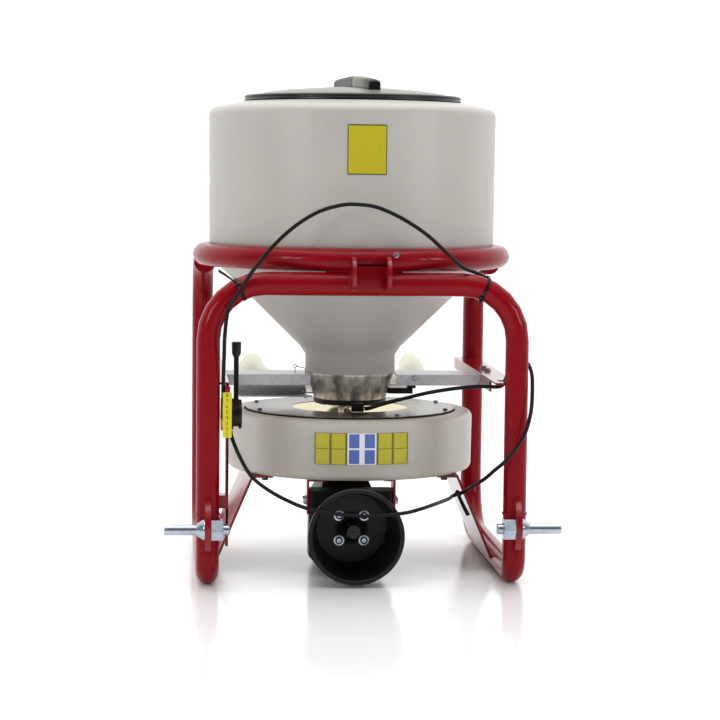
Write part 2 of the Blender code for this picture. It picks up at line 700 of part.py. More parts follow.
def ported_disc(radius, inner, z_low, thickness, turned):
    """A disc with sector ports and a round middle hole, as one closed mesh."""
    build = bmesh.new()
    steps = 4
    sector = 360.0 / PORT_COUNT
    angles = []
    for port in range(PORT_COUNT):
        start = port * sector + turned
        angles += [start + PORT_DEG * i / steps for i in range(steps + 1)]
        rest = sector - PORT_DEG
        angles += [start + PORT_DEG + rest * i / steps for i in range(1, steps)]
    radii = (inner, PORT_IN, PORT_OUT, radius)
    count = len(angles)

    def layer(height):
        rows = []
        for size in radii:
            rows.append([build.verts.new((size * math.cos(math.radians(a)), size * math.sin(math.radians(a)),
                                          height))
                         for a in angles])
        return rows

    low = layer(z_low)
    high = layer(z_low + thickness)

    def opened(index):
        return index % (2 * steps) < steps

    for band in range(3):
        for index in range(count):
            after = (index + 1) % count
            if band == 1 and opened(index):
                continue
            build.faces.new((low[band][index], low[band][after], low[band + 1][after], low[band + 1][index]))
            build.faces.new((high[band][index], high[band + 1][index], high[band + 1][after], high[band][after]))
    for index in range(count):
        after = (index + 1) % count
        build.faces.new((low[0][index], high[0][index], high[0][after], low[0][after]))
        build.faces.new((low[3][index], low[3][after], high[3][after], high[3][index]))
        if opened(index):
            build.faces.new((low[1][index], low[1][after], high[1][after], high[1][index]))
            build.faces.new((low[2][index], high[2][index], high[2][after], low[2][after]))
            if not opened(index - 1):
                build.faces.new((low[1][index], high[1][index], high[2][index], low[2][index]))
            if not opened(after):
                build.faces.new((low[1][after], low[2][after], high[2][after], high[1][after]))
    return build


flange_z = COLLAR_FOOT_Z - GAP - FLANGE_T
node("collar_flange", lathe([(FLANGE_IN, flange_z), (FLANGE_OUT, flange_z), (FLANGE_OUT, flange_z + FLANGE_T),
                             (FLANGE_IN, flange_z + FLANGE_T)]), BLACK)
valve_z = flange_z - GAP - VALVE_T
node("valve_disc", ported_disc(VALVE_R, BUSH_R + GAP, valve_z, VALVE_T, 0.0), BLACK)
shutter_z = valve_z - GAP - VALVE_T
shutter = node("valve_shutter", ported_disc(VALVE_R - 0.007, BUSH_R + GAP, shutter_z, VALVE_T, 0.0), STEEL)
arm_outline = [(-0.009, -0.064), (0.009, -0.064), (0.008, -0.118), (-0.008, -0.118)]
arm_turn = Matrix.Rotation(math.radians(SHUTTER_ARM_DEG), 4, "Z")
arm = prism(bmesh.new(), arm_outline, "Z", shutter_z, shutter_z + VALVE_T)
stud = rod(bmesh.new(), (0, -0.108, shutter_z - 0.0085), (0, -0.108, shutter_z + 0.0005), 0.006, 16)
for word, build in (("arm", arm), ("stud", stud)):
    build.transform(arm_turn)
    cut(shutter, cutter(f"shutter_{word}", build), "UNION")
pivot = [(0.0, shutter_z - PIVOT_HEAD_H), (BUSH_R + 0.005, shutter_z - PIVOT_HEAD_H), (BUSH_R + 0.005, shutter_z - GAP),
         (BUSH_R, shutter_z - GAP), (BUSH_R, valve_z + VALVE_T + GAP), (BUSH_R + 0.007, valve_z + VALVE_T + GAP),
         (BUSH_R + 0.007, valve_z + VALVE_T + 0.006), (BUSH_R - 0.002, valve_z + VALVE_T + 0.010),
         (0.0, valve_z + VALVE_T + 0.010)]
node("shutter_pivot", lathe(pivot, 16), BRASS)


# Fan housing, its gasket and its cover plate
def housing_outline():
    corner = 0.012
    outer = [(HOUSING_MOUTH_R, HOUSING_Z1)]
    outer += arc(HOUSING_R - corner, HOUSING_Z1 - corner, corner, 90, 0, 3)
    outer += arc(HOUSING_R - corner - 0.001, HOUSING_Z0 + corner, corner, 0, -90, 3)
    outer.append((0.034, HOUSING_Z0))
    wall = HOUSING_WALL
    inner = [(0.034, HOUSING_Z0 + wall)]
    inner += arc(HOUSING_R - corner - 0.001, HOUSING_Z0 + corner, corner - wall, -90, 0, 3)
    inner += arc(HOUSING_R - corner, HOUSING_Z1 - corner, corner - wall, 0, 90, 3)
    inner.append((HOUSING_MOUTH_R, HOUSING_Z1 - wall))
    return outer + inner


housing = node("fan_housing", lathe(housing_outline(), BIG), TANK_PE)
duct_hole = cutter("duct_hole", rod(bmesh.new(), (0, HOUSING_R - 0.06, DUCT_Z), (0, HOUSING_R + 0.05, DUCT_Z),
                                   DUCT_R + 2.0 * GAP, 24))
cut(housing, duct_hole)
gasket_z = HOUSING_Z1 + GAP
gasket_in = PLATE_R - GASKET_W
node("plate_gasket", lathe([(gasket_in, gasket_z), (PLATE_R, gasket_z), (PLATE_R, gasket_z + GASKET_T),
                            (gasket_in, gasket_z + GASKET_T)]), RUBBER)
plate_z = gasket_z + GASKET_T + GAP
cover_r = PLATE_R - 0.0022
node("fan_cover_plate", lathe([(INLET_R, plate_z), (cover_r, plate_z), (cover_r, plate_z + PLATE_T),
                               (INLET_R, plate_z + PLATE_T)]), STEEL)


# Fan wheel and its shaft
fan_z = HOUSING_Z0 + HOUSING_WALL + FAN_CLEAR
FAN_AXIS = (DRIVE_X, 0.0, PTO_Z)
profile = [(SHAFT_R + GAP, fan_z - 0.004), (HUB_WHEEL_R, fan_z - 0.004), (HUB_WHEEL_R, fan_z), (FAN_R, fan_z),
           (FAN_R, fan_z + 0.003), (HUB_WHEEL_R, fan_z + 0.003), (HUB_WHEEL_R - 0.004, fan_z + 0.040),
           (SHAFT_R + GAP, fan_z + 0.040)]
wheel = driven("fan_wheel", lathe(profile, 36), ZINC, FAN_AXIS)
build = bmesh.new()
for index in range(FAN_BLADES):
    turn = Matrix.Rotation(2.0 * math.pi * index / FAN_BLADES, 3, "Z")
    low = fan_z + 0.002
    rings = []
    for step in range(5):
        share = step / 4.0
        radius = 0.060 + (FAN_R - 0.004 - 0.060) * share
        sweep_back = math.radians(26.0) * share ** 1.4
        middle = Vector((radius * math.cos(sweep_back), -radius * math.sin(sweep_back), 0.0))
        lean = Vector((-middle.y, middle.x, 0.0)).normalized() * 0.00125
        top = low + FAN_BLADE_H - 0.022 * share
        rings.append([turn @ (middle - lean + Vector((0, 0, low))), turn @ (middle + lean + Vector((0, 0, low))),
                      turn @ (middle + lean + Vector((0, 0, top))), turn @ (middle - lean + Vector((0, 0, top)))])
    rings_to_mesh(build, rings)
cut(wheel, driven_cutter("fan_blades", build), "UNION")

# Fan shaft, turned down where the pinion sits
shaft_profile = [(0.0, SHAFT_FOOT_Z), (SEAT_R, SHAFT_FOOT_Z), (SEAT_R, SEAT_TOP_Z), (SHAFT_R, SEAT_TOP_Z),
                 (SHAFT_R, SHAFT_TOP_Z), (0.0, SHAFT_TOP_Z)]
driven("fan_shaft", lathe(shaft_profile, 24), STEEL, FAN_AXIS)


# Bevel pair inside the gearbox
def bevel_rings(teeth, cone, hub_r, hub_back, bore):
    """Rings of (radius, angle, axial) for a bevel gear whose apex is at zero."""
    rise = GEAR_MODULE * 0.60
    fall = GEAR_MODULE * 1.15
    pitch = 2.0 * math.pi / teeth
    shape = ((-0.28, -fall), (-0.10, rise), (0.10, rise), (0.28, -fall))
    large = []
    small = []
    keep = 1.0 - GEAR_FACE / CONE_LEN
    for tooth in range(teeth):
        for share, height in shape:
            angle = (tooth + share) * pitch
            radius = CONE_LEN * math.sin(cone) + height * math.cos(cone)
            axial = CONE_LEN * math.cos(cone) - height * math.sin(cone)
            large.append((radius, angle, axial))
            small.append((radius * keep, angle, axial * keep))
    back = max(a for _, _, a in large) + hub_back
    front = min(a for _, _, a in small)
    turned = [angle for _, angle, _ in large]
    return [[(bore, t, back) for t in turned], [(hub_r, t, back) for t in turned], large, small,
            [(bore, t, front) for t in turned]]


def bevel(teeth, hub_r, hub_back, bore, toward, phase):
    cone = math.atan2(teeth, GEAR_TEETH + PINION_TEETH - teeth)
    build = bmesh.new()
    loops = []
    for ring in bevel_rings(teeth, cone, hub_r, hub_back, bore):
        loop = []
        for radius, angle, axial in ring:
            a = radius * math.cos(angle + phase)
            b = radius * math.sin(angle + phase)
            if toward == "up":
                loop.append((a, b, PTO_Z + axial))
            else:
                loop.append((a, -axial, PTO_Z + b))
        loops.append(loop)
    return rings_to_mesh(build, loops, closed_loop=True)


PTO_AXIS = (DRIVE_X, 0.0, PTO_Z)
driven("drive_gear", bevel(GEAR_TEETH, 0.030, 0.010, PTO_R + GAP, "front", math.pi / GEAR_TEETH), STEEL, PTO_AXIS)
driven("fan_pinion", bevel(PINION_TEETH, 0.0165, 0.004, SEAT_R + GAP, "up", 0.0), STEEL, FAN_AXIS)


# Input shaft with its six splines
def shaft_ring(y, radius, root):
    points = []
    for spline in range(SPLINES):
        for share, size in ((-0.30, root), (-0.235, radius), (0.0, radius), (0.235, radius), (0.30, root),
                            (0.5, root)):
            angle = (spline + share) * 2.0 * math.pi / SPLINES
            points.append((size * math.cos(angle), y, PTO_Z + size * math.sin(angle)))
    return points


rings = []
groove = PTO_END_Y + 0.0255
for y, radius, root in ((PTO_END_Y, 0.0140, 0.0140), (PTO_END_Y + 0.003, PTO_R, SPLINE_ROOT),
                        (groove, PTO_R, SPLINE_ROOT), (groove, SPLINE_ROOT, SPLINE_ROOT - 0.0004),
                        (groove + 0.007, SPLINE_ROOT, SPLINE_ROOT - 0.0004), (groove + 0.007, PTO_R, SPLINE_ROOT),
                        (PTO_END_Y + SPLINE_LEN, PTO_R, SPLINE_ROOT), (PTO_END_Y + SPLINE_LEN + 0.004, PTO_R, PTO_R),
                        (BOX_Y1 - BOX_WALL - 0.001 + BEARING_T * 0.4, PTO_R, PTO_R)):
    rings.append(shaft_ring(y, radius, root))
driven("input_shaft", rings_to_mesh(bmesh.new(), rings), STEEL, PTO_AXIS)


# Gearbox casing: a lofted box with a neck, its cavity and its bearing bores
def box_ring(half_x, y_low, y_high, z, chamfer):
    return [(-half_x + chamfer, y_low, z), (half_x - chamfer, y_low, z), (half_x, y_low + chamfer, z),
            (half_x, y_high - chamfer, z), (half_x - chamfer, y_high, z), (-half_x + chamfer, y_high, z),
            (-half_x, y_high - chamfer, z), (-half_x, y_low + chamfer, z)]


neck_top = HOUSING_Z0 - GAP
rings = [box_ring(BODY_HALF_X - 0.012, BOX_Y0 + 0.020, BOX_Y1, BOX_Z0, 0.006),
         box_ring(BODY_HALF_X, BOX_Y0 + 0.020, BOX_Y1, BOX_Z0 + 0.024, 0.006),
         box_ring(BODY_HALF_X, BOX_Y0 + 0.020, BOX_Y1, BODY_SHOULDER_Z, 0.006),
         box_ring(BOX_NECK_R, -BOX_NECK_R, BOX_NECK_R, neck_top - 0.006, 0.012),
         box_ring(BOX_NECK_R, -BOX_NECK_R, BOX_NECK_R, neck_top, 0.012)]
casing = driven("gearbox_casing", rings_to_mesh(bmesh.new(), rings), CAST)
rings = [box_ring(BOX_HALF_X - 0.020, BOX_Y0, BOX_Y0 + FRONT_T, BOX_Z0, 0.006),
         box_ring(BOX_HALF_X, BOX_Y0, BOX_Y0 + FRONT_T, BOX_Z0 + 0.024, 0.006),
         box_ring(BOX_HALF_X, BOX_Y0, BOX_Y0 + FRONT_T, BOX_Z1, 0.006)]
cut(casing, driven_cutter("casing_front", rings_to_mesh(bmesh.new(), rings)), "UNION")
room_x = BODY_HALF_X - BOX_WALL
rings = [box_ring(room_x - 0.012, BOX_Y0 + BOX_WALL, BOX_Y1 - BOX_WALL, BOX_Z0 + BOX_WALL, 0.004),
         box_ring(room_x, BOX_Y0 + BOX_WALL, BOX_Y1 - BOX_WALL, BOX_Z0 + 0.026, 0.004),
         box_ring(room_x, BOX_Y0 + BOX_WALL, BOX_Y1 - BOX_WALL, BODY_SHOULDER_Z - 0.006, 0.004),
         box_ring(BOX_NECK_R - BOX_WALL, BOX_WALL - BOX_NECK_R, BOX_NECK_R - BOX_WALL, neck_top - 0.030, 0.004)]
cut(casing, driven_cutter("casing_cavity", rings_to_mesh(bmesh.new(), rings)))
build = rod(bmesh.new(), (0, BOX_Y0 - 0.01, PTO_Z), (0, BOX_Y1 + 0.01, PTO_Z), INPUT_BEARING_R + GAP, 24)
cut(casing, driven_cutter("input_bore", build))
build = rod(bmesh.new(), (0, 0, BOX_Z1 - 0.012), (0, 0, neck_top + 0.01), OUTPUT_BEARING_R + GAP, 24)
cut(casing, driven_cutter("output_bore", build))
for word, y in (("front", BOX_Y0), ("rear", BOX_Y1 - BEARING_T)):
    ring = ring_disc(bmesh.new(), (0, y, PTO_Z), (0, 1, 0), PTO_R + GAP, INPUT_BEARING_R, BEARING_T, 24)
    driven(f"input_bearing_{word}", ring, ZINC)
ring = ring_disc(bmesh.new(), (0, 0, neck_top - BEARING_T - 0.002), (0, 0, 1), SHAFT_R + GAP, OUTPUT_BEARING_R,
                 BEARING_T, 24)
driven("output_bearing", ring, ZINC)
cover = [(0.0, BOX_Y1 + GAP), (0.044, BOX_Y1 + GAP), (0.044, BOX_Y1 + 0.005), (0.041, BOX_Y1 + 0.007),
         (0.0, BOX_Y1 + 0.007)]
driven("gearbox_rear_cover", lathe(cover, 24, (0, 0, PTO_Z), "Y"), CAST)

# Shaft shield, its four bolts and the two brackets that hang the gearbox
back = BOX_Y0 - GAP
wall = SHIELD_WALL
shield = [(0.036, back), (0.078, back), (0.080, back - 0.040), (0.093, back - 0.085),
          (0.0955, SHIELD_FRONT_Y + 0.012), (SHIELD_R, SHIELD_FRONT_Y + 0.010), (SHIELD_R, SHIELD_FRONT_Y),
          (0.0905, SHIELD_FRONT_Y),
          (0.0905, SHIELD_FRONT_Y + 0.012), (0.0885, back - 0.085), (0.0765, back - 0.042), (0.074, back - wall),
          (0.036, back - wall)]
shield_node = driven("shaft_shield", lathe(shield, 36, (0, 0, PTO_Z), "Y"), BLACK)
half = SHIELD_BOLT_PITCH / 2.0
holes = bmesh.new()
corners = ((-half, -half, "low_left"), (half, -half, "low_right"), (-half, half, "top_left"),
           (half, half, "top_right"))
for x, z, word in corners:
    seat = (x, back - wall - GAP, PTO_Z + z)
    driven(f"shield_bolt_{word}", bolt(bmesh.new(), seat, (0, -1, 0), 0.010, wall + 0.012), ZINC)
    rod(holes, (x, back - 0.02, PTO_Z + z), (x, BOX_Y0 + 0.0165, PTO_Z + z), 0.005 + GAP, 12)
shield_holes = driven_cutter("shield_bolt_holes", holes)
cut(shield_node, shield_holes)
cut(casing, shield_holes)

for side, word in SIDES:
    inner = BOX_HALF_X + GAP
    outer = inner + BRACKET_T
    tab = BRACKET_TAB[side] - BRACKET_T
    outline = [(side * inner, BRACKET_Z0), (side * outer, BRACKET_Z0), (side * outer, neck_top),
               (side * (inner - tab), neck_top), (side * (inner - tab), neck_top - BRACKET_T),
               (side * inner, neck_top - BRACKET_T)]
    driven(f"gearbox_bracket_{word}", prism(bmesh.new(), outline, "Y", BRACKET_Y0, BRACKET_Y1), RED)


# Red side plates from the housing's floor down to the runners
for side, word in SIDES:
    foot_x = HALF_TRACK - 0.018
    lean = math.atan2(foot_x - SIDE_TOP_X, neck_top - SIDE_FOOT_Z)
    across = SIDE_T / math.cos(lean)
    outline = [(side * SIDE_TAB_X, neck_top), (side * SIDE_TAB_X, neck_top - SIDE_T),
               (side * (SIDE_TOP_X - across + SIDE_T * math.tan(lean)), neck_top - SIDE_T),
               (side * (foot_x - across), SIDE_FOOT_Z), (side * foot_x, SIDE_FOOT_Z), (side * SIDE_TOP_X, neck_top)]
    plate = node(f"side_plate_{word}", prism(bmesh.new(), outline, "Y", -SIDE_HALF_Y, SIDE_HALF_Y), RED)
    cut(plate, side_cutters[side])


# Outlet duct behind the housing: an elbow, a tee and two spreading nozzles
elbow_path = smooth_route([(0, HOUSING_R - 0.0235, DUCT_Z), (0, HOUSING_R + 0.0315, DUCT_Z),
                           (0, TEE_Y - 0.105, DUCT_Z + 0.008), (0, TEE_Y - 0.060, DUCT_Z + 0.039),
                           (0, TEE_Y - 0.012, TEE_Z - 0.009)], 0.016)
sizes = []
for index in range(len(elbow_path)):
    share = index / (len(elbow_path) - 1)
    size = DUCT_R + (TEE_R - 0.002 - DUCT_R) * max(0.0, (share - 0.28) / 0.72)
    sizes.append((size, size))
elbow_build = sweep(bmesh.new(), elbow_path, DUCT_R, 12, (1, 0, 0), DUCT_WALL, sizes)
elbow = node("outlet_elbow", elbow_build, NOZZLE_PE)
tee_path = [(-TEE_HALF, TEE_Y, TEE_Z), (TEE_HALF, TEE_Y, TEE_Z)]
tee_build = sweep(bmesh.new(), tee_path, TEE_R, 24, (0, 1, 0), DUCT_WALL)
tee = node("outlet_tee", tee_build, NOZZLE_PE)
cut(elbow, cutter("tee_clearance", rod(bmesh.new(), (-TEE_HALF, TEE_Y, TEE_Z), (TEE_HALF, TEE_Y, TEE_Z),
                                       TEE_R + GAP, 24)))
mouth = Vector(elbow_path[-1]) - Vector(elbow_path[-2])
start = Vector(elbow_path[-1])
mouth_end = start + mouth.normalized() * 0.030
cut(tee, cutter("tee_mouth", rod(bmesh.new(), start - mouth, mouth_end, TEE_R - 0.007, 20)))
for side, word in SIDES:
    path = smooth_route([(side * (TEE_HALF + 0.0007), TEE_Y, TEE_Z), (side * (TEE_HALF + 0.018), TEE_Y, TEE_Z),
                         (side * 0.152, TEE_Y + 0.003, TEE_Z + 0.002),
                         (side * 0.178, TEE_Y + 0.022, TEE_Z + 0.012), (side * 0.1930, TEE_Y + 0.052, TEE_Z + 0.022),
                         (side * 0.198, TEE_Y + 0.085, TEE_Z + 0.026)], 0.014)
    sizes = []
    for index in range(len(path)):
        share = index / (len(path) - 1)
        grow = max(0.0, (share - 0.12) / 0.88) ** 1.15
        sizes.append((TEE_R + (NOZZLE_HALF_W - TEE_R) * grow, TEE_R + (NOZZLE_HALF_H - TEE_R) * grow))
    build = sweep(bmesh.new(), path, TEE_R, 12, (0, 1, 0), DUCT_WALL, sizes)
    node(f"outlet_nozzle_{word}", build, NOZZLE_PE)


# Galvanised stay under the left wing, and the collar's welded lugs, on the stay and under the right wing
stay_y1 = WING_Y1 + GAP
stay_outline = [(STAY_Y0, STAY_Z - WING_T), (stay_y1 + WING_T, STAY_Z - WING_T), (stay_y1 + WING_T, wing_top),
                (stay_y1, wing_top), (stay_y1, STAY_Z), (STAY_Y0, STAY_Z)]
stay = node("collar_stay", prism(bmesh.new(), stay_outline, "X", STAY_X0, STAY_X1), GALVANISED)
cone = [(0.0, COLLAR_FOOT_Z), (COLLAR_FOOT_R + GAP, COLLAR_FOOT_Z), (COLLAR_TOP_R + GAP, collar_step - 0.004),
        (COLLAR_TOP_R + GAP, collar_step + 0.02), (0.0, collar_step + 0.02)]
collar_cutter = cutter("collar_cutter", lathe(cone))
cut(stay, collar_cutter)
cut(stay, neck_cutter)
lug = box(bmesh.new(), (-0.113, -0.012, STAY_Z + GAP), (-0.081, 0.016, STAY_Z + GAP + LUG_T))
hook_top = wing_top - WING_T - GAP
hook = [(0.082, hook_top - 0.026), (0.112, hook_top - 0.026), (0.112, hook_top - LUG_T),
        (0.124, hook_top - LUG_T), (0.124, hook_top), (0.109, hook_top), (0.109, hook_top - 0.023),
        (0.082, hook_top - 0.023)]
cut(collar, cutter("collar_lug_left", lug), "UNION")
cut(collar, cutter("collar_lug_right", prism(bmesh.new(), hook, "Y", -0.030, -0.006)), "UNION")


# Lever unit: post, scale, control box and the lever itself
post_top = RAIL_Z - RAIL_T - GAP
post_build = box(bmesh.new(), (POST_X - POST_T, LEVER_Y - POST_HALF_Y, POST_LOW_Z),
                 (POST_X, LEVER_Y + POST_HALF_Y, post_top))
post = node("lever_post", post_build, RED)
foot = box(bmesh.new(), (-HALF_TRACK, -LEG_Y + 0.010, POST_FOOT_Z0),
           (POST_X - 0.001, LEVER_Y + 0.012, POST_FOOT_Z1))
cut(post, cutter("post_foot", foot), "UNION")
cut(post, arch_cutter)
web = POST_X - POST_T / 2.0
scale = [(SCALE_X0, SCALE_Y), (SCALE_X1, SCALE_Y), (SCALE_X1, SCALE_Y + SCALE_T),
         (web + SCALE_T / 2.0, SCALE_Y + SCALE_T),
         (web + SCALE_T / 2.0, LEVER_Y - POST_HALF_Y - GAP), (web - SCALE_T / 2.0, LEVER_Y - POST_HALF_Y - GAP),
         (web - SCALE_T / 2.0, SCALE_Y + SCALE_T), (SCALE_X0, SCALE_Y + SCALE_T)]
plate = node("scale_plate", prism(bmesh.new(), scale, "Z", SCALE_Z0, SCALE_Z1), YELLOW)
stop = box(bmesh.new(), (web - 0.0125, -0.3320, 0.3300), (web, -0.3200, 0.3453))
cut(plate, cutter("cable_stop", stop), "UNION")
box_x0 = POST_X + GAP
control = lathe([(LEVER_PIN_R + GAP, box_x0), (HUB_R, box_x0), (HUB_R, box_x0 + CONTROL_T - 0.001),
                 (HUB_R - 0.002, box_x0 + CONTROL_T), (LEVER_PIN_R + GAP, box_x0 + CONTROL_T)],
                32, (0, LEVER_Y, LEVER_Z), "X")
node("control_box", control, BLACK)
LEVER_AXIS = (LEVER_X, LEVER_Y, LEVER_Z)
lever_x0 = box_x0 + CONTROL_T + GAP
outline = arc(LEVER_Y, LEVER_Z, LEVER_HEAD_R, 150, 390, 20)
outline += [(LEVER_Y + 0.0070, LEVER_Z + 0.040), (LEVER_Y + 0.0060, LEVER_Z + LEVER_LEN - 0.030),
            (LEVER_Y - 0.0060, LEVER_Z + LEVER_LEN - 0.030), (LEVER_Y - 0.0070, LEVER_Z + 0.040)]
lever = node("control_lever", prism(bmesh.new(), outline, "X", lever_x0, lever_x0 + LEVER_T), BLACK, LEVER_AXIS)
bore = rod(bmesh.new(), (lever_x0 - 0.01, LEVER_Y, LEVER_Z), (lever_x0 + 0.03, LEVER_Y, LEVER_Z),
           LEVER_PIN_R + GAP, 16)
cut(lever, cutter("lever_bore", bore))
grip_mid = lever_x0 + LEVER_T / 2.0
rings = []
for z, half_x, half_y in ((LEVER_LEN - 0.032, 0.0053, 0.0070), (LEVER_LEN - 0.024, 0.0096, 0.0115),
                          (LEVER_LEN - 0.002, 0.0100, 0.0120), (LEVER_LEN, 0.0090, 0.0110)):
    rings.append([(grip_mid + half_x * a, LEVER_Y + half_y * b, LEVER_Z + z) for a, b in circle(1.0, 16)])
cut(lever, cutter("lever_grip", rings_to_mesh(bmesh.new(), rings)), "UNION")
pin_end = lever_x0 + LEVER_T + GAP
turned = [(0.0, POST_X - POST_T - 0.004), (0.0065, POST_X - POST_T - 0.004), (0.0065, POST_X - POST_T - GAP),
          (LEVER_PIN_R, POST_X - POST_T - GAP), (LEVER_PIN_R, pin_end), (0.0075, pin_end), (0.0075, pin_end + 0.005),
          (0.0, pin_end + 0.005)]
node("lever_pin", lathe(turned, 16, (0, LEVER_Y, LEVER_Z), "X"), ZINC)
pivot_hole = rod(bmesh.new(), (POST_X - POST_T - 0.01, LEVER_Y, LEVER_Z), (POST_X + 0.005, LEVER_Y, LEVER_Z),
                 LEVER_PIN_R + GAP, 16)
cut(post, cutter("post_hole", pivot_hole))


# Two sheathed cables, from the lever's box to the clamp under the collar
UPPER_ROUTE = ((-0.2870, -0.3265, 0.3456), (-0.2870, -0.3270, 0.3700), (-0.2870, -0.3300, 0.3950),
               (-0.2870, -0.3320, 0.4212), (-0.2860, -0.3450, 0.4746), (-0.2848, -0.3540, 0.5206),
               (-0.2788, -0.3560, 0.5693), (-0.2630, -0.3580, 0.5973), (-0.2312, -0.3600, 0.6480),
               (-0.1927, -0.3580, 0.6964), (-0.1477, -0.3520, 0.7384), (-0.0991, -0.3480, 0.7692),
               (-0.0505, -0.3460, 0.7841), (-0.0100, -0.3450, 0.7855), (0.0283, -0.3450, 0.7784),
               (0.0773, -0.3460, 0.7563), (0.1264, -0.3470, 0.7243), (0.1694, -0.3460, 0.6858),
               (0.2008, -0.3380, 0.6595), (0.2220, -0.3200, 0.6510), (0.2440, -0.3030, 0.6420),
               (0.2640, -0.2920, 0.6290), (0.2860, -0.2910, 0.6010), (0.3050, -0.2910, 0.5650),
               (0.3140, -0.2910, 0.5200), (0.3140, -0.2910, 0.4600), (0.3060, -0.2895, 0.4330),
               (0.2965, -0.2885, 0.4150), (0.2860, -0.2780, 0.4085), (0.2700, -0.2600, 0.4075),
               (0.2417, -0.2380, 0.4050), (0.1985, -0.2060, 0.3969), (0.1514, -0.1760, 0.3855),
               (0.1038, -0.1480, 0.3704), (0.0600, -0.1270, 0.3560), (0.0350, -0.1165, 0.3465),
               (0.0228, -0.1145, 0.3440))
LOWER_ROUTE = ((-0.2695, -0.2920, 0.3172), (-0.2685, -0.2950, 0.3067), (-0.2528, -0.3150, 0.2689),
               (-0.2305, -0.3320, 0.2315), (-0.2016, -0.3480, 0.2075), (-0.1600, -0.3620, 0.1848),
               (-0.1117, -0.3700, 0.1667), (-0.0473, -0.3710, 0.1554), (0.0160, -0.3710, 0.1518),
               (0.0821, -0.3680, 0.1573), (0.1200, -0.3440, 0.1623), (0.1590, -0.2940, 0.1660),
               (0.1930, -0.2280, 0.1660), (0.2215, -0.1740, 0.1690), (0.2388, -0.2300, 0.1905),
               (0.2570, -0.2900, 0.2151), (0.2740, -0.3350, 0.2416), (0.2951, -0.3620, 0.2680),
               (0.3269, -0.3660, 0.3145), (0.3426, -0.3550, 0.3593), (0.3490, -0.3350, 0.4002),
               (0.3520, -0.3050, 0.4400), (0.3430, -0.2840, 0.4620), (0.3250, -0.2740, 0.4600),
               (0.3090, -0.2740, 0.4390), (0.2990, -0.2745, 0.4180), (0.2880, -0.2640, 0.4075),
               (0.2700, -0.2490, 0.4065), (0.2417, -0.2260, 0.4035), (0.1985, -0.1950, 0.3955),
               (0.1514, -0.1650, 0.3840), (0.1038, -0.1370, 0.3690), (0.0600, -0.1160, 0.3555),
               (0.0350, -0.1065, 0.3460), (0.0228, -0.1045, 0.3440))


def cable(name, route):
    """A sheathed cable drawn as a round curve through its route."""
    path = smooth_route(route, CABLE_STEP)
    curve = bpy.data.curves.new(name, "CURVE")
    curve.dimensions = "3D"
    curve.bevel_depth = CABLE_R
    curve.bevel_resolution = 2
    curve.use_fill_caps = True
    spline = curve.splines.new("POLY")
    spline.points.add(len(path) - 1)
    for point, place in zip(spline.points, path):
        point.co = (*place, 1.0)
    curve.materials.append(RUBBER)
    made = bpy.data.objects.new(name, curve)
    bpy.context.scene.collection.objects.link(made)


cable("cable_upper", UPPER_ROUTE)
cable("cable_lower", LOWER_ROUTE)


clamp = box(bmesh.new(), (CLAMP_X0, -0.122, flange_z), (CLAMP_X1, -0.060, flange_z + 0.006))
block = box(bmesh.new(), (CLAMP_X0, -0.122, 0.3385), (CLAMP_X1, -0.097, flange_z + 0.001))
clamp_node = node("cable_clamp", clamp, BLACK)
cut(clamp_node, cutter("clamp_block", block), "UNION")
cut(clamp_node, cutter("flange_cutter", rod(bmesh.new(), (0, 0, 0.30), (0, 0, 0.40), FLANGE_OUT + GAP, BIG)))
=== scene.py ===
"""The tractor-mounted powder spreader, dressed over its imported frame."""
import json
import math
import bmesh
import bpy
from mathutils import Matrix, Vector

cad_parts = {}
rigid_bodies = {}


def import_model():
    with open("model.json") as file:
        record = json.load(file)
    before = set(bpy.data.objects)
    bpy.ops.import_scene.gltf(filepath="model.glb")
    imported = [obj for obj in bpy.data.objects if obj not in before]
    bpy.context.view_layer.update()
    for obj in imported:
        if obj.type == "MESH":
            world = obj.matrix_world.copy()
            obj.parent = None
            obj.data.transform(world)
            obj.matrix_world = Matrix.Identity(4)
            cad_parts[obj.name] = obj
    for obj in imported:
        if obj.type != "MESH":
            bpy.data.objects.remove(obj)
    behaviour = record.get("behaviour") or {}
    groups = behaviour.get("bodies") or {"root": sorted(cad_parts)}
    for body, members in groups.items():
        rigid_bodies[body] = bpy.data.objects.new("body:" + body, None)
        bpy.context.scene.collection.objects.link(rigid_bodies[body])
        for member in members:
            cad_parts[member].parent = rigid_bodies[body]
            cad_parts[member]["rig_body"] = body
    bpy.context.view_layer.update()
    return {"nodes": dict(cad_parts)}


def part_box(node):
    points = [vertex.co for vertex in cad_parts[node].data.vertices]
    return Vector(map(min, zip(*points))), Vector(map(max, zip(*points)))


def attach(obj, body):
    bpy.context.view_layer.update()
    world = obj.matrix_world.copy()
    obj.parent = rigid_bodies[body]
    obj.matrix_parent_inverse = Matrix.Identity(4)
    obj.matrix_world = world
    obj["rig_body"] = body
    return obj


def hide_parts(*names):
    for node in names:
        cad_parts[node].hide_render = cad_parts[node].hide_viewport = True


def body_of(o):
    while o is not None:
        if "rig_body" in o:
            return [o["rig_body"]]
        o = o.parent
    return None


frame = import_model()


# Camera
# A long lens stands 4.8 m off on the tractor's side, level with the tank's shoulder and a little to the left.
# Its place and its three axes were fitted to the photograph's frame.
def stood(name, data):
    """A new object in the scene that holds a mesh, a curve, a lamp or a camera."""
    made = bpy.data.objects.new(name, data)
    bpy.context.scene.collection.objects.link(made)
    return made


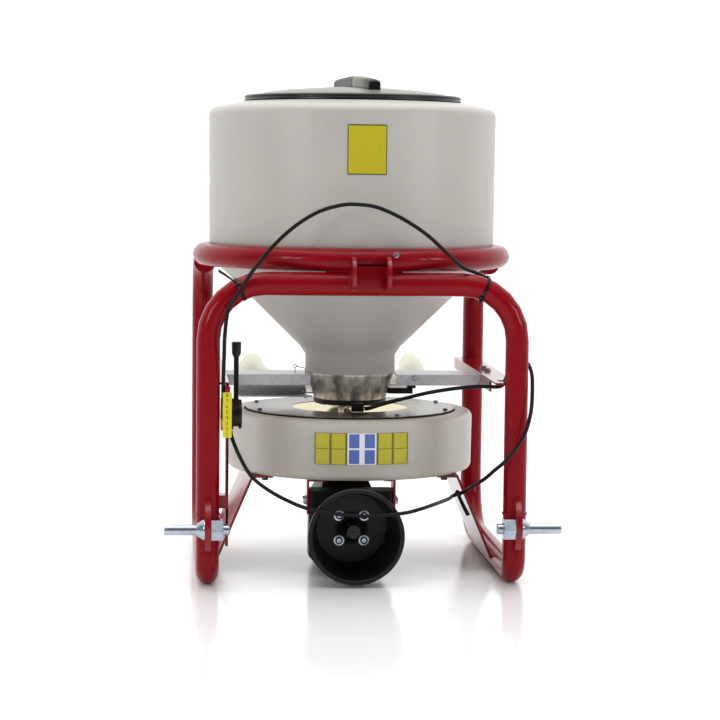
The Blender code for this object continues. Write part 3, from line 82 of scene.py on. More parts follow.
LENS_MM = 110.05
SENSOR_MM = 36.0
EYE = (-0.4122, -4.7996, 0.8458)
SIGHT_RIGHT = Vector((0.9959559, -0.08918532, 0.01085479))
SIGHT_UP = Vector((-0.00329324, 0.0844981, 0.9964182))
SIGHT_BACK = Vector((-0.08978309, -0.99242433, 0.08386268))
camera_data = bpy.data.cameras.new("camera")
camera_data.lens = LENS_MM
camera_data.sensor_width = SENSOR_MM
camera = stood("camera", camera_data)
aim = Matrix((SIGHT_RIGHT, SIGHT_UP, SIGHT_BACK)).transposed().to_4x4()
camera.matrix_world = Matrix.Translation(EYE) @ aim
bpy.context.scene.camera = camera


# Control cables
# Two sheathed push-pull cables run from the lever box to the shutter: black PVC, 8 mm thick, extruded over a
# steel liner, so they keep wide springy bends. One arches over the frame, the other hangs under it.
def colour(code):
    """An sRGB hex colour as the linear red, green, blue and alpha that a shader wants."""
    shares = [int(code[place:place + 2], 16) / 255.0 for place in (1, 3, 5)]
    return [s / 12.92 if s <= 0.04045 else ((s + 0.055) / 1.055) ** 2.4 for s in shares] + [1.0]


def add(tree, kind, inputs=None, **settings):
    """Adds one node with its settings; each input is a value or the socket that feeds it."""
    made = tree.nodes.new(kind)
    for name, value in settings.items():
        setattr(made, name, value)
    for name, value in (inputs or {}).items():
        if isinstance(value, bpy.types.NodeSocket):
            tree.links.new(value, made.inputs[name])
        else:
            made.inputs[name].default_value = value
    return made


MM_PER_M = 1000.0


def coat(name, dark, light, patch_mm, grain_mm, depth_mm, rough, **shader):
    """A finish that drifts between two shades in patches, with a fine grain raised on it."""
    made = bpy.data.materials.new(name)
    made.use_nodes = True
    tree = made.node_tree
    tree.nodes.clear()
    place = add(tree, "ShaderNodeTexCoord").outputs["Object"]
    patches = add(tree, "ShaderNodeTexNoise", {"Vector": place, "Scale": MM_PER_M / patch_mm, "Detail": 4.0})
    shades = {0: patches.outputs[0], 6: colour(dark), 7: colour(light)}
    tone = add(tree, "ShaderNodeMix", shades, data_type="RGBA")
    grain = add(tree, "ShaderNodeTexNoise", {"Vector": place, "Scale": MM_PER_M / grain_mm, "Detail": 2.0})
    raised = add(tree, "ShaderNodeBump",
                 {"Height": grain.outputs[0], "Distance": depth_mm / MM_PER_M, "Strength": 1.0})
    gloss = add(tree, "ShaderNodeMapRange",
                {"Value": patches.outputs[0], "To Min": rough * 0.8, "To Max": rough * 1.2})
    surface = {"Base Color": tone.outputs[2], "Roughness": gloss.outputs[0], "Normal": raised.outputs[0]}
    look = add(tree, "ShaderNodeBsdfPrincipled", {**surface, **shader})
    add(tree, "ShaderNodeOutputMaterial", {"Surface": look.outputs[0]})
    return made


# extruded PVC: soft satin black with a faint drag grain
CABLE_PVC = coat("black_extruded_pvc", "#060607", "#101012", 40.0, 1.2, 0.03, 0.42,
                 **{"Specular IOR Level": 0.22})
CABLE_R = 0.0040
# the two routes, from the lever box round the frame to the clamp under the tank
UPPER_ROUTE = (
    (-0.2870, -0.3265, 0.3456), (-0.2870, -0.3270, 0.3700), (-0.2870, -0.3300, 0.3950),
    (-0.2870, -0.3320, 0.4212), (-0.2860, -0.3450, 0.4746), (-0.2848, -0.3540, 0.5206),
    (-0.2788, -0.3560, 0.5693), (-0.2630, -0.3580, 0.5973), (-0.2312, -0.3600, 0.6480),
    (-0.1927, -0.3580, 0.6964), (-0.1477, -0.3520, 0.7384), (-0.0991, -0.3480, 0.7692),
    (-0.0505, -0.3460, 0.7841), (-0.0100, -0.3450, 0.7855), (0.0283, -0.3450, 0.7784),
    (0.0773, -0.3460, 0.7563), (0.1264, -0.3470, 0.7243), (0.1694, -0.3460, 0.6858),
    (0.2008, -0.3380, 0.6595), (0.2220, -0.3200, 0.6510), (0.2440, -0.3030, 0.6420),
    (0.2640, -0.2920, 0.6290), (0.2860, -0.2910, 0.6010), (0.3050, -0.2910, 0.5650),
    (0.3140, -0.2910, 0.5200), (0.3140, -0.2910, 0.4600), (0.3060, -0.2895, 0.4330),
    (0.2965, -0.2885, 0.4150), (0.2860, -0.2780, 0.4085), (0.2700, -0.2600, 0.4075),
    (0.2417, -0.2380, 0.4050), (0.1985, -0.2060, 0.3969), (0.1514, -0.1760, 0.3855),
    (0.1038, -0.1480, 0.3704), (0.0600, -0.1270, 0.3560), (0.0350, -0.1165, 0.3465),
    (0.0228, -0.1145, 0.3440),
)
LOWER_ROUTE = (
    (-0.2695, -0.2920, 0.3172), (-0.2685, -0.2950, 0.3067), (-0.2528, -0.3150, 0.2689),
    (-0.2305, -0.3320, 0.2315), (-0.2016, -0.3480, 0.2075), (-0.1600, -0.3620, 0.1848),
    (-0.1117, -0.3700, 0.1667), (-0.0473, -0.3710, 0.1554), (0.0160, -0.3710, 0.1518),
    (0.0821, -0.3680, 0.1573), (0.1200, -0.3440, 0.1623), (0.1590, -0.2940, 0.1660),
    (0.1930, -0.2280, 0.1660), (0.2035, -0.1960, 0.1662), (0.2125, -0.1815, 0.1672),
    (0.2225, -0.1790, 0.1700), (0.2310, -0.1885, 0.1752), (0.2372, -0.2060, 0.1830),
    (0.2415, -0.2300, 0.1925), (0.2570, -0.2900, 0.2151), (0.2740, -0.3350, 0.2416),
    (0.2951, -0.3620, 0.2680), (0.3269, -0.3660, 0.3145), (0.3426, -0.3550, 0.3593),
    (0.3490, -0.3350, 0.4002), (0.3520, -0.3050, 0.4400), (0.3430, -0.2840, 0.4620),
    (0.3250, -0.2740, 0.4600), (0.3090, -0.2740, 0.4390), (0.2990, -0.2745, 0.4180),
    (0.2880, -0.2640, 0.4075), (0.2700, -0.2490, 0.4065), (0.2417, -0.2260, 0.4035),
    (0.1985, -0.1950, 0.3955), (0.1514, -0.1650, 0.3840), (0.1038, -0.1370, 0.3690),
    (0.0600, -0.1160, 0.3555), (0.0350, -0.1065, 0.3460), (0.0228, -0.1045, 0.3440),
)


CURVE_STEPS = 6


def smooth(route):
    """Points on one smooth curve through a route's own points."""
    known = [Vector(place) for place in route]
    known = [known[0] * 2 - known[1]] + known + [known[-1] * 2 - known[-2]]
    points = []
    for a, b, c, d in zip(known, known[1:], known[2:], known[3:]):
        for step in range(CURVE_STEPS):
            t = step / CURVE_STEPS
            points.append(0.5 * (2 * b + (c - a) * t + (2 * a - 5 * b + 4 * c - d) * t * t
                                 + (3 * b - a - 3 * c + d) * t ** 3))
    return points + [known[-2]]


def sheath(name, route, stands_for):
    """A cable as a round curve along its route, in the place of its plain solid."""
    points = smooth(route)
    line = bpy.data.curves.new(name, "CURVE")
    line.dimensions = "3D"
    line.bevel_depth = CABLE_R
    line.bevel_resolution = 4
    line.use_fill_caps = True
    line.materials.append(CABLE_PVC)
    spline = line.splines.new("POLY")
    spline.points.add(len(points) - 1)
    for knot, point in zip(spline.points, points):
        knot.co = (*point, 1.0)
    spline.use_smooth = True
    made = stood(name, line)
    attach(made, "frame")
    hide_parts(stands_for)


sheath("cable_over_frame", UPPER_ROUTE, "cable_upper")
sheath("cable_under_frame", LOWER_ROUTE, "cable_lower")


# Tube frame
# Bent 48.3 mm round tube and 4 to 12 mm plate, cut, welded together and powder coated in one gloss deep red.
# The hoop carries the tank, the arch the hitch, and two side tubes make the runners and the rear legs.
def cast(name, build):
    """The mesh of a finished build."""
    mesh = bpy.data.meshes.new(name)
    build.to_mesh(mesh)
    build.free()
    return mesh


def settled(holder):
    """A plain mesh of what an object shows, with its modifiers or its letters turned to faces."""
    return bpy.data.meshes.new_from_object(holder.evaluated_get(bpy.context.evaluated_depsgraph_get()))


# corners closer than SAME_POINT are one, and faces that meet under the FLAT angle are one face; an edge past
# the EASED angle is rounded where a piece asks for it, and one past the CREASE angle is shaded sharp
SAME_POINT = 1e-6
FLAT = math.radians(0.5)
EASED = 0.7
CREASE = math.radians(34.0)
EASE_STEPS = 3


def refined(node, finish, ease_mm=0.0):
    """A solid of the frame with its triangles joined, its edges eased and its round faces shaded smooth."""
    solid = frame["nodes"][node]
    build = bmesh.new()
    build.from_mesh(solid.data)
    build.transform(solid.matrix_world)
    bmesh.ops.remove_doubles(build, verts=build.verts, dist=SAME_POINT)
    bmesh.ops.dissolve_limit(build, angle_limit=FLAT, verts=build.verts, edges=build.edges)
    if ease_mm:
        sharp = [edge for edge in build.edges if len(edge.link_faces) == 2 and edge.calc_face_angle() > EASED]
        bmesh.ops.bevel(build, geom=sharp, offset=ease_mm / MM_PER_M, segments=EASE_STEPS, profile=0.5,
                        affect="EDGES", clamp_overlap=True)
    rough = cast(node, build)
    rough.shade_smooth()
    rough.set_sharp_from_angle(angle=CREASE)
    made = stood(node + "_piece", rough)
    made.modifiers.new("even_shading", "WEIGHTED_NORMAL").keep_sharp = True
    made.data = settled(made)
    made.modifiers.clear()
    made.data.materials.append(finish)
    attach(made, body_of(solid)[0])
    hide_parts(node)


# powder coat on steel: deep gloss, with an orange peel 5 mm across that breaks up long highlights
RED_COAT = coat("red_powder_coat", "#7a0410", "#900818", 60.0, 5.0, 0.008, 0.24,
                **{"Specular IOR Level": 0.10, "Coat Weight": 0.12, "Coat Roughness": 0.05})
# the same coat on flat sheet, where the gloss lies even and mirrors the room at low angles
RED_SHEET = coat("red_coated_sheet", "#7a0410", "#900818", 80.0, 7.0, 0.004, 0.20,
                 **{"Specular IOR Level": 0.20, "Coat Weight": 0.40, "Coat Roughness": 0.10})
for name in ("hoop_ring", "front_arch", "side_tube_left", "side_tube_right"):
    refined(name, RED_COAT)
for name in ("top_link_ear_left", "top_link_ear_right", "lower_link_ear_left", "lower_link_ear_right",
             "side_rail_left", "side_rail_right", "side_plate_left", "side_plate_right", "lever_post",
             "gearbox_bracket_left", "gearbox_bracket_right"):
    refined(name, RED_SHEET, 0.6)


# Weld beads
# The arch, its ears, the hoop and the side tubes are joined by hand-laid fillet and butt beads about 6 mm
# wide, coated with the rest, so each shows as a soft rippled line along its joint.
def bead_tree(name, finish):
    """A rippled round bead along a path: inputs Radius, Ripple and Pitch in metres."""
    tree = bpy.data.node_groups.new(name, "GeometryNodeTree")
    tree.interface.new_socket("Path", in_out="INPUT", socket_type="NodeSocketGeometry")
    for label in ("Radius", "Ripple", "Pitch"):
        tree.interface.new_socket(label, in_out="INPUT", socket_type="NodeSocketFloat")
    tree.interface.new_socket("Bead", in_out="OUTPUT", socket_type="NodeSocketGeometry")
    entry = add(tree, "NodeGroupInput")
    line = add(tree, "GeometryNodeMeshToCurve", {"Mesh": entry.outputs["Path"]})
    pitch = entry.outputs["Pitch"]
    even = add(tree, "GeometryNodeResampleCurve", {"Curve": line.outputs[0], "Length": pitch}, mode="LENGTH")
    index = add(tree, "GeometryNodeInputIndex")
    swing = add(tree, "ShaderNodeMath", {0: index.outputs[0], 1: 2.0}, operation="MODULO")
    ripple = add(tree, "ShaderNodeMath", {0: swing.outputs[0], 1: entry.outputs["Ripple"]},
                 operation="MULTIPLY")
    girth = add(tree, "ShaderNodeMath", {0: ripple.outputs[0], 1: entry.outputs["Radius"]}, operation="ADD")
    ring = add(tree, "GeometryNodeCurvePrimitiveCircle", {"Resolution": 8, "Radius": 1.0})
    tube = add(tree, "GeometryNodeCurveToMesh", {"Curve": even.outputs[0], "Profile Curve": ring.outputs[0],
                                                 "Scale": girth.outputs[0], "Fill Caps": True})
    real = add(tree, "GeometryNodeRealizeInstances", {"Geometry": tube.outputs[0]})
    painted = add(tree, "GeometryNodeSetMaterial", {"Geometry": real.outputs[0], "Material": finish})
    smooth_faces = add(tree, "GeometryNodeSetShadeSmooth", {"Geometry": painted.outputs[0]})
    add(tree, "NodeGroupOutput", {"Bead": smooth_faces.outputs[0]})
    return tree


def grown(name, source, tree, sizes, body):
    """A piece of the plain mesh that a tree grows on a source mesh, its named sizes set by identifier."""
    holder = stood(name, source)
    step = holder.modifiers.new("growth", "NODES")
    step.node_group = tree
    for socket in tree.interface.items_tree:
        if socket.name in sizes:
            step[socket.identifier] = sizes[socket.name]
    holder.data = settled(holder)
    holder.modifiers.clear()
    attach(holder, body)


def lines(name, paths):
    """A mesh of bare edges along paths."""
    build = bmesh.new()
    for path in paths:
        knots = [build.verts.new(point) for point in path]
        for first, second in zip(knots, knots[1:]):
            build.edges.new((first, second))
    return cast(name, build)


TUBE_R = 0.02415
HALF_TRACK = 0.3175
LEG_Y = 0.325
LEG_BEAD_R = 0.0238
LEG_BEAD_Z = 0.150
EAR_THICK = 0.012
EAR_LOW_Z = 0.074
EAR_BEAD_STEP = 0.004
BAR_Z = 0.623
TOP_EAR_FACES = (-0.0315, -0.0235, 0.0395, 0.0475)
HOOP_R = 0.3215
HOOP_Z = 0.6716
HOOP_BEAD_FORWARD = 0.010
HOOP_BEAD_RAISED = 0.001
HOOP_BEAD_TURNS = ((-104, -92.5), (-85, -76))
bead_paths = []
# round each leg of the arch, where it meets its side tube, and down both faces of each lower link ear
for side in (-1, 1):
    turns = [math.radians(12 * i) for i in range(31)]
    bead_paths.append([(side * HALF_TRACK + LEG_BEAD_R * math.cos(t), -LEG_Y + LEG_BEAD_R * math.sin(t),
                        LEG_BEAD_Z) for t in turns])
    for inner in (0.0, EAR_THICK):
        x = side * (HALF_TRACK - EAR_THICK / 2.0 + inner)
        reach = math.sqrt(TUBE_R ** 2 - (abs(x) - HALF_TRACK) ** 2)
        bead_paths.append([(x, -LEG_Y - reach, EAR_LOW_Z + EAR_BEAD_STEP * i) for i in range(28)])
# round the front of the bar, along both faces of each top link ear
for x in TOP_EAR_FACES:
    turns = [math.radians(a) for a in range(-26, 74, 8)]
    bead_paths.append([(x, -LEG_Y - TUBE_R * math.cos(t), BAR_Z + TUBE_R * math.sin(t)) for t in turns])
# two runs where the hoop's underside lies on the bar
for low, high in HOOP_BEAD_TURNS:
    turns = [math.radians(low + (high - low) * i / 10) for i in range(11)]
    bead_paths.append([(HOOP_R * math.cos(t), HOOP_R * math.sin(t) - HOOP_BEAD_FORWARD,
                        HOOP_Z - TUBE_R + HOOP_BEAD_RAISED) for t in turns])
grown("weld_beads", lines("weld_paths", bead_paths), bead_tree("weld_bead", RED_COAT),
      {"Radius": 0.0023, "Ripple": 0.0006, "Pitch": 0.0032}, "frame")


# Tab and back plate
# Two small pieces of the same red sheet: a tab stands out at the top of the lever post, and a 4 mm plate lies
# on the front of the arch's bar, between the two ears.
def piece(name, build, finish, body="frame"):
    """A new piece from its mesh in place, riding on one body."""
    bmesh.ops.recalc_face_normals(build, faces=build.faces)
    mesh = cast(name, build)
    mesh.materials.append(finish)
    mesh.shade_smooth()
    mesh.set_sharp_from_angle(angle=CREASE)
    made = stood(name, mesh)
    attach(made, body)
    return made


def block(name, low, high, finish, ease_mm):
    """A box with eased edges, from its low and high corners."""
    build = bmesh.new()
    middle = (Vector(low) + Vector(high)) / 2.0
    size = Matrix.Diagonal((*(Vector(high) - Vector(low)), 1.0))
    bmesh.ops.create_cube(build, size=1.0, matrix=Matrix.Translation(middle) @ size)
    bmesh.ops.bevel(build, geom=build.edges[:], offset=ease_mm / MM_PER_M, segments=EASE_STEPS, profile=0.5,
                    affect="EDGES")
    piece(name, build, finish)


block("post_top_tab", (-0.2835, -0.3375, 0.4018), (-0.2725, -0.3050, 0.4135), RED_SHEET, 0.8)
block("clevis_back_plate", (-0.0235, -0.3518, 0.6150), (0.0395, -0.3478, 0.6600), RED_COAT, 0.8)


# Lower link pins
# Category 1 pins turned from bar carry the tractor's lower links. Each is threaded into its ear and locked by
# a hexagon nut, all bright zinc plated.
# zinc plate on turned steel: bright, bluish, faintly uneven
ZINC_PLATE = coat("bright_zinc_plate", "#8d97a8", "#cdd4de", 14.0, 0.8, 0.01, 0.20, Metallic=1.0)
for name in ("lower_link_pin_left", "lower_link_pin_right", "lower_link_nut_left", "lower_link_nut_right"):
    refined(name, ZINC_PLATE, 0.6)


# Wings and stay
# Folded 3 mm galvanised sheet: two wings, screwed to the rails, carry the tank's neck between them, and a
# strip from the left wing stays the collar.
# hot-dip galvanised sheet: pale grey, with a spangle a few millimetres across
GALVANISED = coat("galvanised_sheet", "#b4b4b8", "#dcdcde", 9.0, 3.0, 0.01, 0.38, Metallic=0.6)
for name in ("wing_left", "wing_right", "collar_stay"):
    refined(name, GALVANISED, 0.4)


# Tank
# Rotomoulded natural polyethylene, about 4.5 mm thick, with a rounded shoulder and a cone down to the neck.
# It stands in the hoop, and its neck goes down into the collar.
# rotomoulded polyethylene: milky, lets a little light through, with a fine orange-peel skin
TANK_PE = coat("rotomoulded_polyethylene", "#b1aea8", "#bcb9b3", 140.0, 2.5, 0.02, 0.40,
               **{"Subsurface Weight": 0.35, "Subsurface Radius": (0.012, 0.010, 0.008),
                  "Subsurface Scale": 1.0})
refined("tank", TANK_PE)


# Lid
# A screwed black polypropylene lid with a grooved rim and a long bar grip, over a rubber seal. It closes the
# tank's filling neck; its dome is coloured paler on the faces that look up, and powder lies on its grip.
# moulded polypropylene: satin black with a fine spark-eroded grain
BLACK_PP = coat("moulded_black_polypropylene", "#0b0b0c", "#141415", 50.0, 0.9, 0.02, 0.34,
                **{"Specular IOR Level": 0.30})
# vulcanised rubber: matt and a little grey
RUBBER = coat("vulcanised_rubber", "#0a0a0a", "#121212", 30.0, 1.0, 0.03, 0.7, **{"Specular IOR Level": 0.25})


def paled_upward(finish, shade, low, high):
    """Mixes a paler shade into a finish on those faces that look up."""
    tree = finish.node_tree
    look = tree.nodes["Principled BSDF"]
    base_tone = look.inputs["Base Color"].links[0].from_socket
    up = add(tree, "ShaderNodeSeparateXYZ", {0: add(tree, "ShaderNodeNewGeometry").outputs["Normal"]})
    lies = add(tree, "ShaderNodeMapRange", {"Value": up.outputs[2], "From Min": low, "From Max": high})
    tone = add(tree, "ShaderNodeMix", {0: lies.outputs[0], 6: base_tone, 7: colour(shade)}, data_type="RGBA")
    tree.links.new(tone.outputs[2], look.inputs["Base Color"])


# the same polypropylene, coloured paler on the faces that look up, so the dome reads pale and the rim black
UPWARD_PALED_PP = coat("black_polypropylene_paled_upward", "#141416", "#1e1e21", 50.0, 0.9, 0.02, 0.34)
paled_upward(UPWARD_PALED_PP, "#7b7871", 0.95, 0.975)
refined("lid", UPWARD_PALED_PP)
# the grip's own moulding: rubbed grey at the far end, dusty beige before it, and black at the near end
GRIP_PP = coat("rubbed_black_grip", "#141416", "#1e1e21", 50.0, 0.9, 0.02, 0.34,
               **{"Specular IOR Level": 0.15})
GRIP_WAY = (0.182, -0.983, 0.0)
GRIP_FAR = -0.12
GRIP_NEAR = 0.18
GRIP_BANDS = ((0.0, "#454342"), (0.515, "#454342"), (0.522, "#161617"), (0.543, "#161617"),
              (0.550, "#918d84"), (0.80, "#6f6b61"), (0.90, "#161617"), (1.0, "#161617"))
grip_tree = GRIP_PP.node_tree
grip_place = add(grip_tree, "ShaderNodeTexCoord").outputs["Object"]
grip_along = add(grip_tree, "ShaderNodeVectorMath", {0: grip_place, 1: GRIP_WAY}, operation="DOT_PRODUCT")
grip_share = add(grip_tree, "ShaderNodeMapRange",
                 {"Value": grip_along.outputs["Value"], "From Min": GRIP_FAR, "From Max": GRIP_NEAR})
grip_ramp = add(grip_tree, "ShaderNodeValToRGB", {0: grip_share.outputs[0]})
stops = grip_ramp.color_ramp.elements
while len(stops) < len(GRIP_BANDS):
    stops.new(0.5)
for stop, (share, shade) in zip(stops, GRIP_BANDS):
    stop.position = share
    stop.color = colour(shade)
grip_tree.links.new(grip_ramp.outputs[0], grip_tree.nodes["Principled BSDF"].inputs["Base Color"])
refined("lid_grip", GRIP_PP, 1.0)
refined("lid_seal", RUBBER)


# Outlet collar and shutter
# The neck sits in a spun stainless collar whose foot holds a fixed disc and a shutter that turns on a brass
# stud. A black ring closes the collar's foot, and a black clamp joins both cables to the shutter.
# rolled and turned stainless steel: streaky grey with broad soft reflections
STAINLESS = coat("rolled_stainless_steel", "#8f8b85", "#d2cfc9", 16.0, 1.6, 0.03, 0.20, Metallic=1.0)
# the same steel spun, with painted reflections: bright and dark streaks, 18 mm apart on a 61 mm radius, run
# up the cone
SPUN_STEEL = coat("spun_stainless_painted_reflections", "#857f76", "#f0ece4", 20.0, 2.5, 0.05, 0.30, Metallic=0.5)
CONE_R_MM = 61.2
STREAK_MM = 18.0
# how many radians of turn a metre of height counts for: the fewer, the longer the streaks
STREAK_RISE = 9.0
spun_tree = SPUN_STEEL.node_tree
spun_spot = add(spun_tree, "ShaderNodeTexCoord").outputs["Object"]
spun_place = add(spun_tree, "ShaderNodeSeparateXYZ", {0: spun_spot})
spun_angle = add(spun_tree, "ShaderNodeMath", {0: spun_place.outputs[1], 1: spun_place.outputs[0]},
                 operation="ARCTAN2")
spun_tall = add(spun_tree, "ShaderNodeMath", {0: spun_place.outputs[2], 1: STREAK_RISE}, operation="MULTIPLY")
spun_round = add(spun_tree, "ShaderNodeCombineXYZ", {0: spun_angle.outputs[0], 2: spun_tall.outputs[0]})
spun_noise = add(spun_tree, "ShaderNodeTexNoise",
                 {"Vector": spun_round.outputs[0], "Scale": CONE_R_MM / STREAK_MM, "Detail": 5.0})
spun_share = add(spun_tree, "ShaderNodeMapRange",
                 {"Value": spun_noise.outputs[0], "From Min": 0.36, "From Max": 0.64})
# painted reflections: the streaks run from a dark grey to a near white
reflection_streak_tone = add(spun_tree, "ShaderNodeMix",
                {0: spun_share.outputs[0], 6: colour("#857e75"), 7: colour("#f8f3ea")}, data_type="RGBA")
spun_tree.links.new(reflection_streak_tone.outputs[2], spun_tree.nodes["Principled BSDF"].inputs["Base Color"])
for name in ("outlet_collar", "valve_shutter"):
    refined(name, SPUN_STEEL, 0.3)
for name in ("collar_flange", "valve_disc", "cable_clamp"):
    refined(name, BLACK_PP, 0.3)
# turned brass, gone brown where hands and powder reach it
BRASS = coat("turned_brass", "#6b5530", "#9a7c45", 6.0, 0.6, 0.01, 0.32, Metallic=1.0)
refined("shutter_pivot", BRASS, 0.3)


# Fan
# A round polyethylene housing closed by a stainless plate on a rubber gasket. A bright-plated steel disc with
# eight blades turns inside on a steel shaft.
# the same polyethylene, with a painted glow on the inner faces over the lit inside of the fan
HOUSING_PE = coat("rotomoulded_polyethylene_painted_glow", "#b6b3ad", "#c1beb8", 120.0, 2.5, 0.02, 0.42,
                  **{"Subsurface Weight": 0.8, "Subsurface Radius": (0.020, 0.019, 0.017),
                     "Subsurface Scale": 1.0})
# painted glow: emission stands in for daylight coming through the wall from outside, so the inner faces,
# which look at the axis, glow cream
wall_tree = HOUSING_PE.node_tree
wall_look = wall_tree.nodes["Principled BSDF"]
wall_place = add(wall_tree, "ShaderNodeTexCoord").outputs["Object"]
wall_flat = add(wall_tree, "ShaderNodeVectorMath", {0: wall_place, 1: (1.0, 1.0, 0.0)}, operation="MULTIPLY")
wall_way = add(wall_tree, "ShaderNodeNewGeometry").outputs["Normal"]
wall_out = add(wall_tree, "ShaderNodeVectorMath", {0: wall_flat.outputs[0], 1: wall_way},
               operation="DOT_PRODUCT")
wall_glow = add(wall_tree, "ShaderNodeMapRange", {"Value": wall_out.outputs["Value"], "From Min": -0.02,
                                                  "From Max": -0.12, "To Min": 0.0, "To Max": 0.75})
wall_tree.links.new(wall_glow.outputs[0], wall_look.inputs["Emission Strength"])
wall_look.inputs["Emission Color"].default_value = colour("#efe0c6")
refined("fan_housing", HOUSING_PE)
# stainless sheet with painted shade: a dark brown-grey for the shade under the tank and the dark underside it
# mirrors, with one soft reflection
COVER_STEEL = coat("stainless_sheet_painted_shade", "#6b6864", "#908c86", 45.0, 1.6, 0.02, 0.28, Metallic=1.0)
refined("fan_cover_plate", COVER_STEEL, 0.4)
refined("plate_gasket", RUBBER)
refined("fan_wheel", ZINC_PLATE)
refined("fan_shaft", STAINLESS, 0.5)


# Gearbox
# A cast iron casing and rear cover under thick black enamel hold the bevel pair. Its splined input shaft
# stands in a moulded black shield that four zinc plated screws hold.
# sand-cast iron under enamel: gritty skin, dull black
CAST_IRON = coat("enamelled_cast_iron", "#070707", "#0e0e0f", 25.0, 1.8, 0.12, 0.42,
                 **{"Specular IOR Level": 0.22})
refined("gearbox_casing", CAST_IRON, 1.6)
refined("gearbox_rear_cover", CAST_IRON, 0.8)
# steel machined and left bare: darkened by grease where it turns
GREASED_STEEL = coat("greased_machined_steel", "#262524", "#474540", 10.0, 0.8, 0.01, 0.30, Metallic=1.0)
for name in ("input_shaft", "drive_gear", "fan_pinion", "input_bearing_rear", "output_bearing"):
    refined(name, GREASED_STEEL)
# the front bearing shows only its rubber seal
refined("input_bearing_front", RUBBER)
# outline points on the axis itself come out closer than this, and are made one
MERGED = 1e-7


def turned(build, profile, centre, along, sides=40):
    """A closed (radius, height) outline turned round an axis through a point."""
    axis = Vector(along).normalized().to_track_quat("Z", "Y")
    rows = []
    for index in range(sides):
        angle = 2.0 * math.pi * index / sides
        out_x, out_y = math.cos(angle), math.sin(angle)
        rows.append([build.verts.new(Vector(centre) + axis @ Vector((r * out_x, r * out_y, h)))
                     for r, h in profile])
    count = len(profile)
    for index in range(sides):
        first, second = rows[index], rows[(index + 1) % sides]
        for knot in range(count):
            after = (knot + 1) % count
            build.faces.new((first[knot], first[after], second[after], second[knot]))
    bmesh.ops.remove_doubles(build, verts=build.verts, dist=MERGED)
    bmesh.ops.dissolve_degenerate(build, edges=build.edges, dist=MERGED)
    return build


def on_axis(node, y):
    """A point on the middle line of a solid that lies along Y."""
    low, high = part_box(node)
    return ((low[0] + high[0]) / 2.0, y, (low[2] + high[2]) / 2.0)


OUTWARD = (0, -1, 0)
# the shield's outline as (radius, depth) from its foot: out along the outside, round the rim and back inside
low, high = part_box("shaft_shield")
deep = high[1] - low[1]
rim = (high[0] - low[0]) / 2.0
bell = [(0.036, 0.0), (0.078, 0.0), (0.080, 0.040), (0.093, 0.085), (rim - 0.004, deep - 0.012),
        (rim, deep - 0.010), (rim, deep - 0.001), (rim - 0.001, deep), (rim - 0.008, deep),
        (rim - 0.009, deep - 0.001), (rim - 0.009, deep - 0.012), (0.0885, 0.085), (0.0765, 0.042),
        (0.074, 0.0035), (0.036, 0.0035)]
shield_bell = turned(bmesh.new(), bell, on_axis("shaft_shield", high[1]), OUTWARD, 120)
bell_piece = piece("shaft_shield_bell", shield_bell, BLACK_PP,
                   body_of(frame["nodes"]["shaft_shield"])[0])
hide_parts("shaft_shield")
# each socket screw stands on a wide plated washer; a black ring round its head is painted shade for the gap
# between head and washer
SCREW_SUNK = 0.0070
SCREW_OUTLINE = ((0.0, 0.0), (0.0112, 0.0), (0.0112, 0.0018), (0.0080, 0.0022), (0.0054, 0.0022),
                 (0.0054, 0.0050), (0.0046, 0.0056), (0.0026, 0.0056), (0.0026, 0.0030), (0.0, 0.0030))
GAP_SHADE_OUTLINE = ((0.0056, 0.0023), (0.0079, 0.0023), (0.0079, 0.0034), (0.0056, 0.0034))
screw_gap_shades = bmesh.new()
for corner in ("low_left", "low_right", "top_left", "top_right"):
    name = "shield_bolt_" + corner
    seat = on_axis(name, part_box(name)[0][1] + SCREW_SUNK)
    socket_screw = turned(bmesh.new(), SCREW_OUTLINE, seat, OUTWARD)
    screw = piece(name + "_screw", socket_screw, ZINC_PLATE)
    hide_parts(name)
    turned(screw_gap_shades, GAP_SHADE_OUTLINE, seat, OUTWARD)
piece("shield_screw_gap_shades", screw_gap_shades, RUBBER)
# a small black disc in the end of the shaft is painted shade for the centre hole left by the lathe
CENTRE_SHADE_OUTLINE = ((0.0, 0.0), (0.0022, 0.0), (0.0022, 0.0002), (0.0, 0.0002))
shaft_end = on_axis("input_shaft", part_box("input_shaft")[0][1])
centre_hole_shade = turned(bmesh.new(), CENTRE_SHADE_OUTLINE, shaft_end, OUTWARD, 16)
piece("shaft_centre_hole_shade", centre_hole_shade, RUBBER, "drive")


# Rear outlets
# Blow-moulded natural polyethylene: an elbow, a tee and two nozzles that spread the powder behind the
# machine. Each plugs into the next, from the fan housing's outlet on.
# natural polyethylene: pale green-cream and slightly see-through
NATURAL_PE = coat("natural_polyethylene", "#cdd0b9", "#dfe0cf", 60.0, 1.5, 0.02, 0.4,
                  **{"Subsurface Weight": 0.3, "Subsurface Radius": (0.008, 0.008, 0.006),
                     "Subsurface Scale": 1.0})
for name in ("outlet_elbow", "outlet_tee", "outlet_nozzle_left", "outlet_nozzle_right"):
    refined(name, NATURAL_PE)


# Lever unit
# A black lever and its box stand on the red post, beside a folded plate printed with plain numbers that show
# how far the shutter is open.
# screen print on sheet steel: flat strong yellow with a satin varnish
YELLOW_PRINT = coat("yellow_screen_print", "#d2c416", "#dfd120", 20.0, 0.8, 0.005, 0.35)
refined("scale_plate", YELLOW_PRINT, 0.2)
refined("control_box", BLACK_PP, 1.0)
refined("control_lever", BLACK_PP, 1.0)
refined("lever_pin", ZINC_PLATE, 0.4)
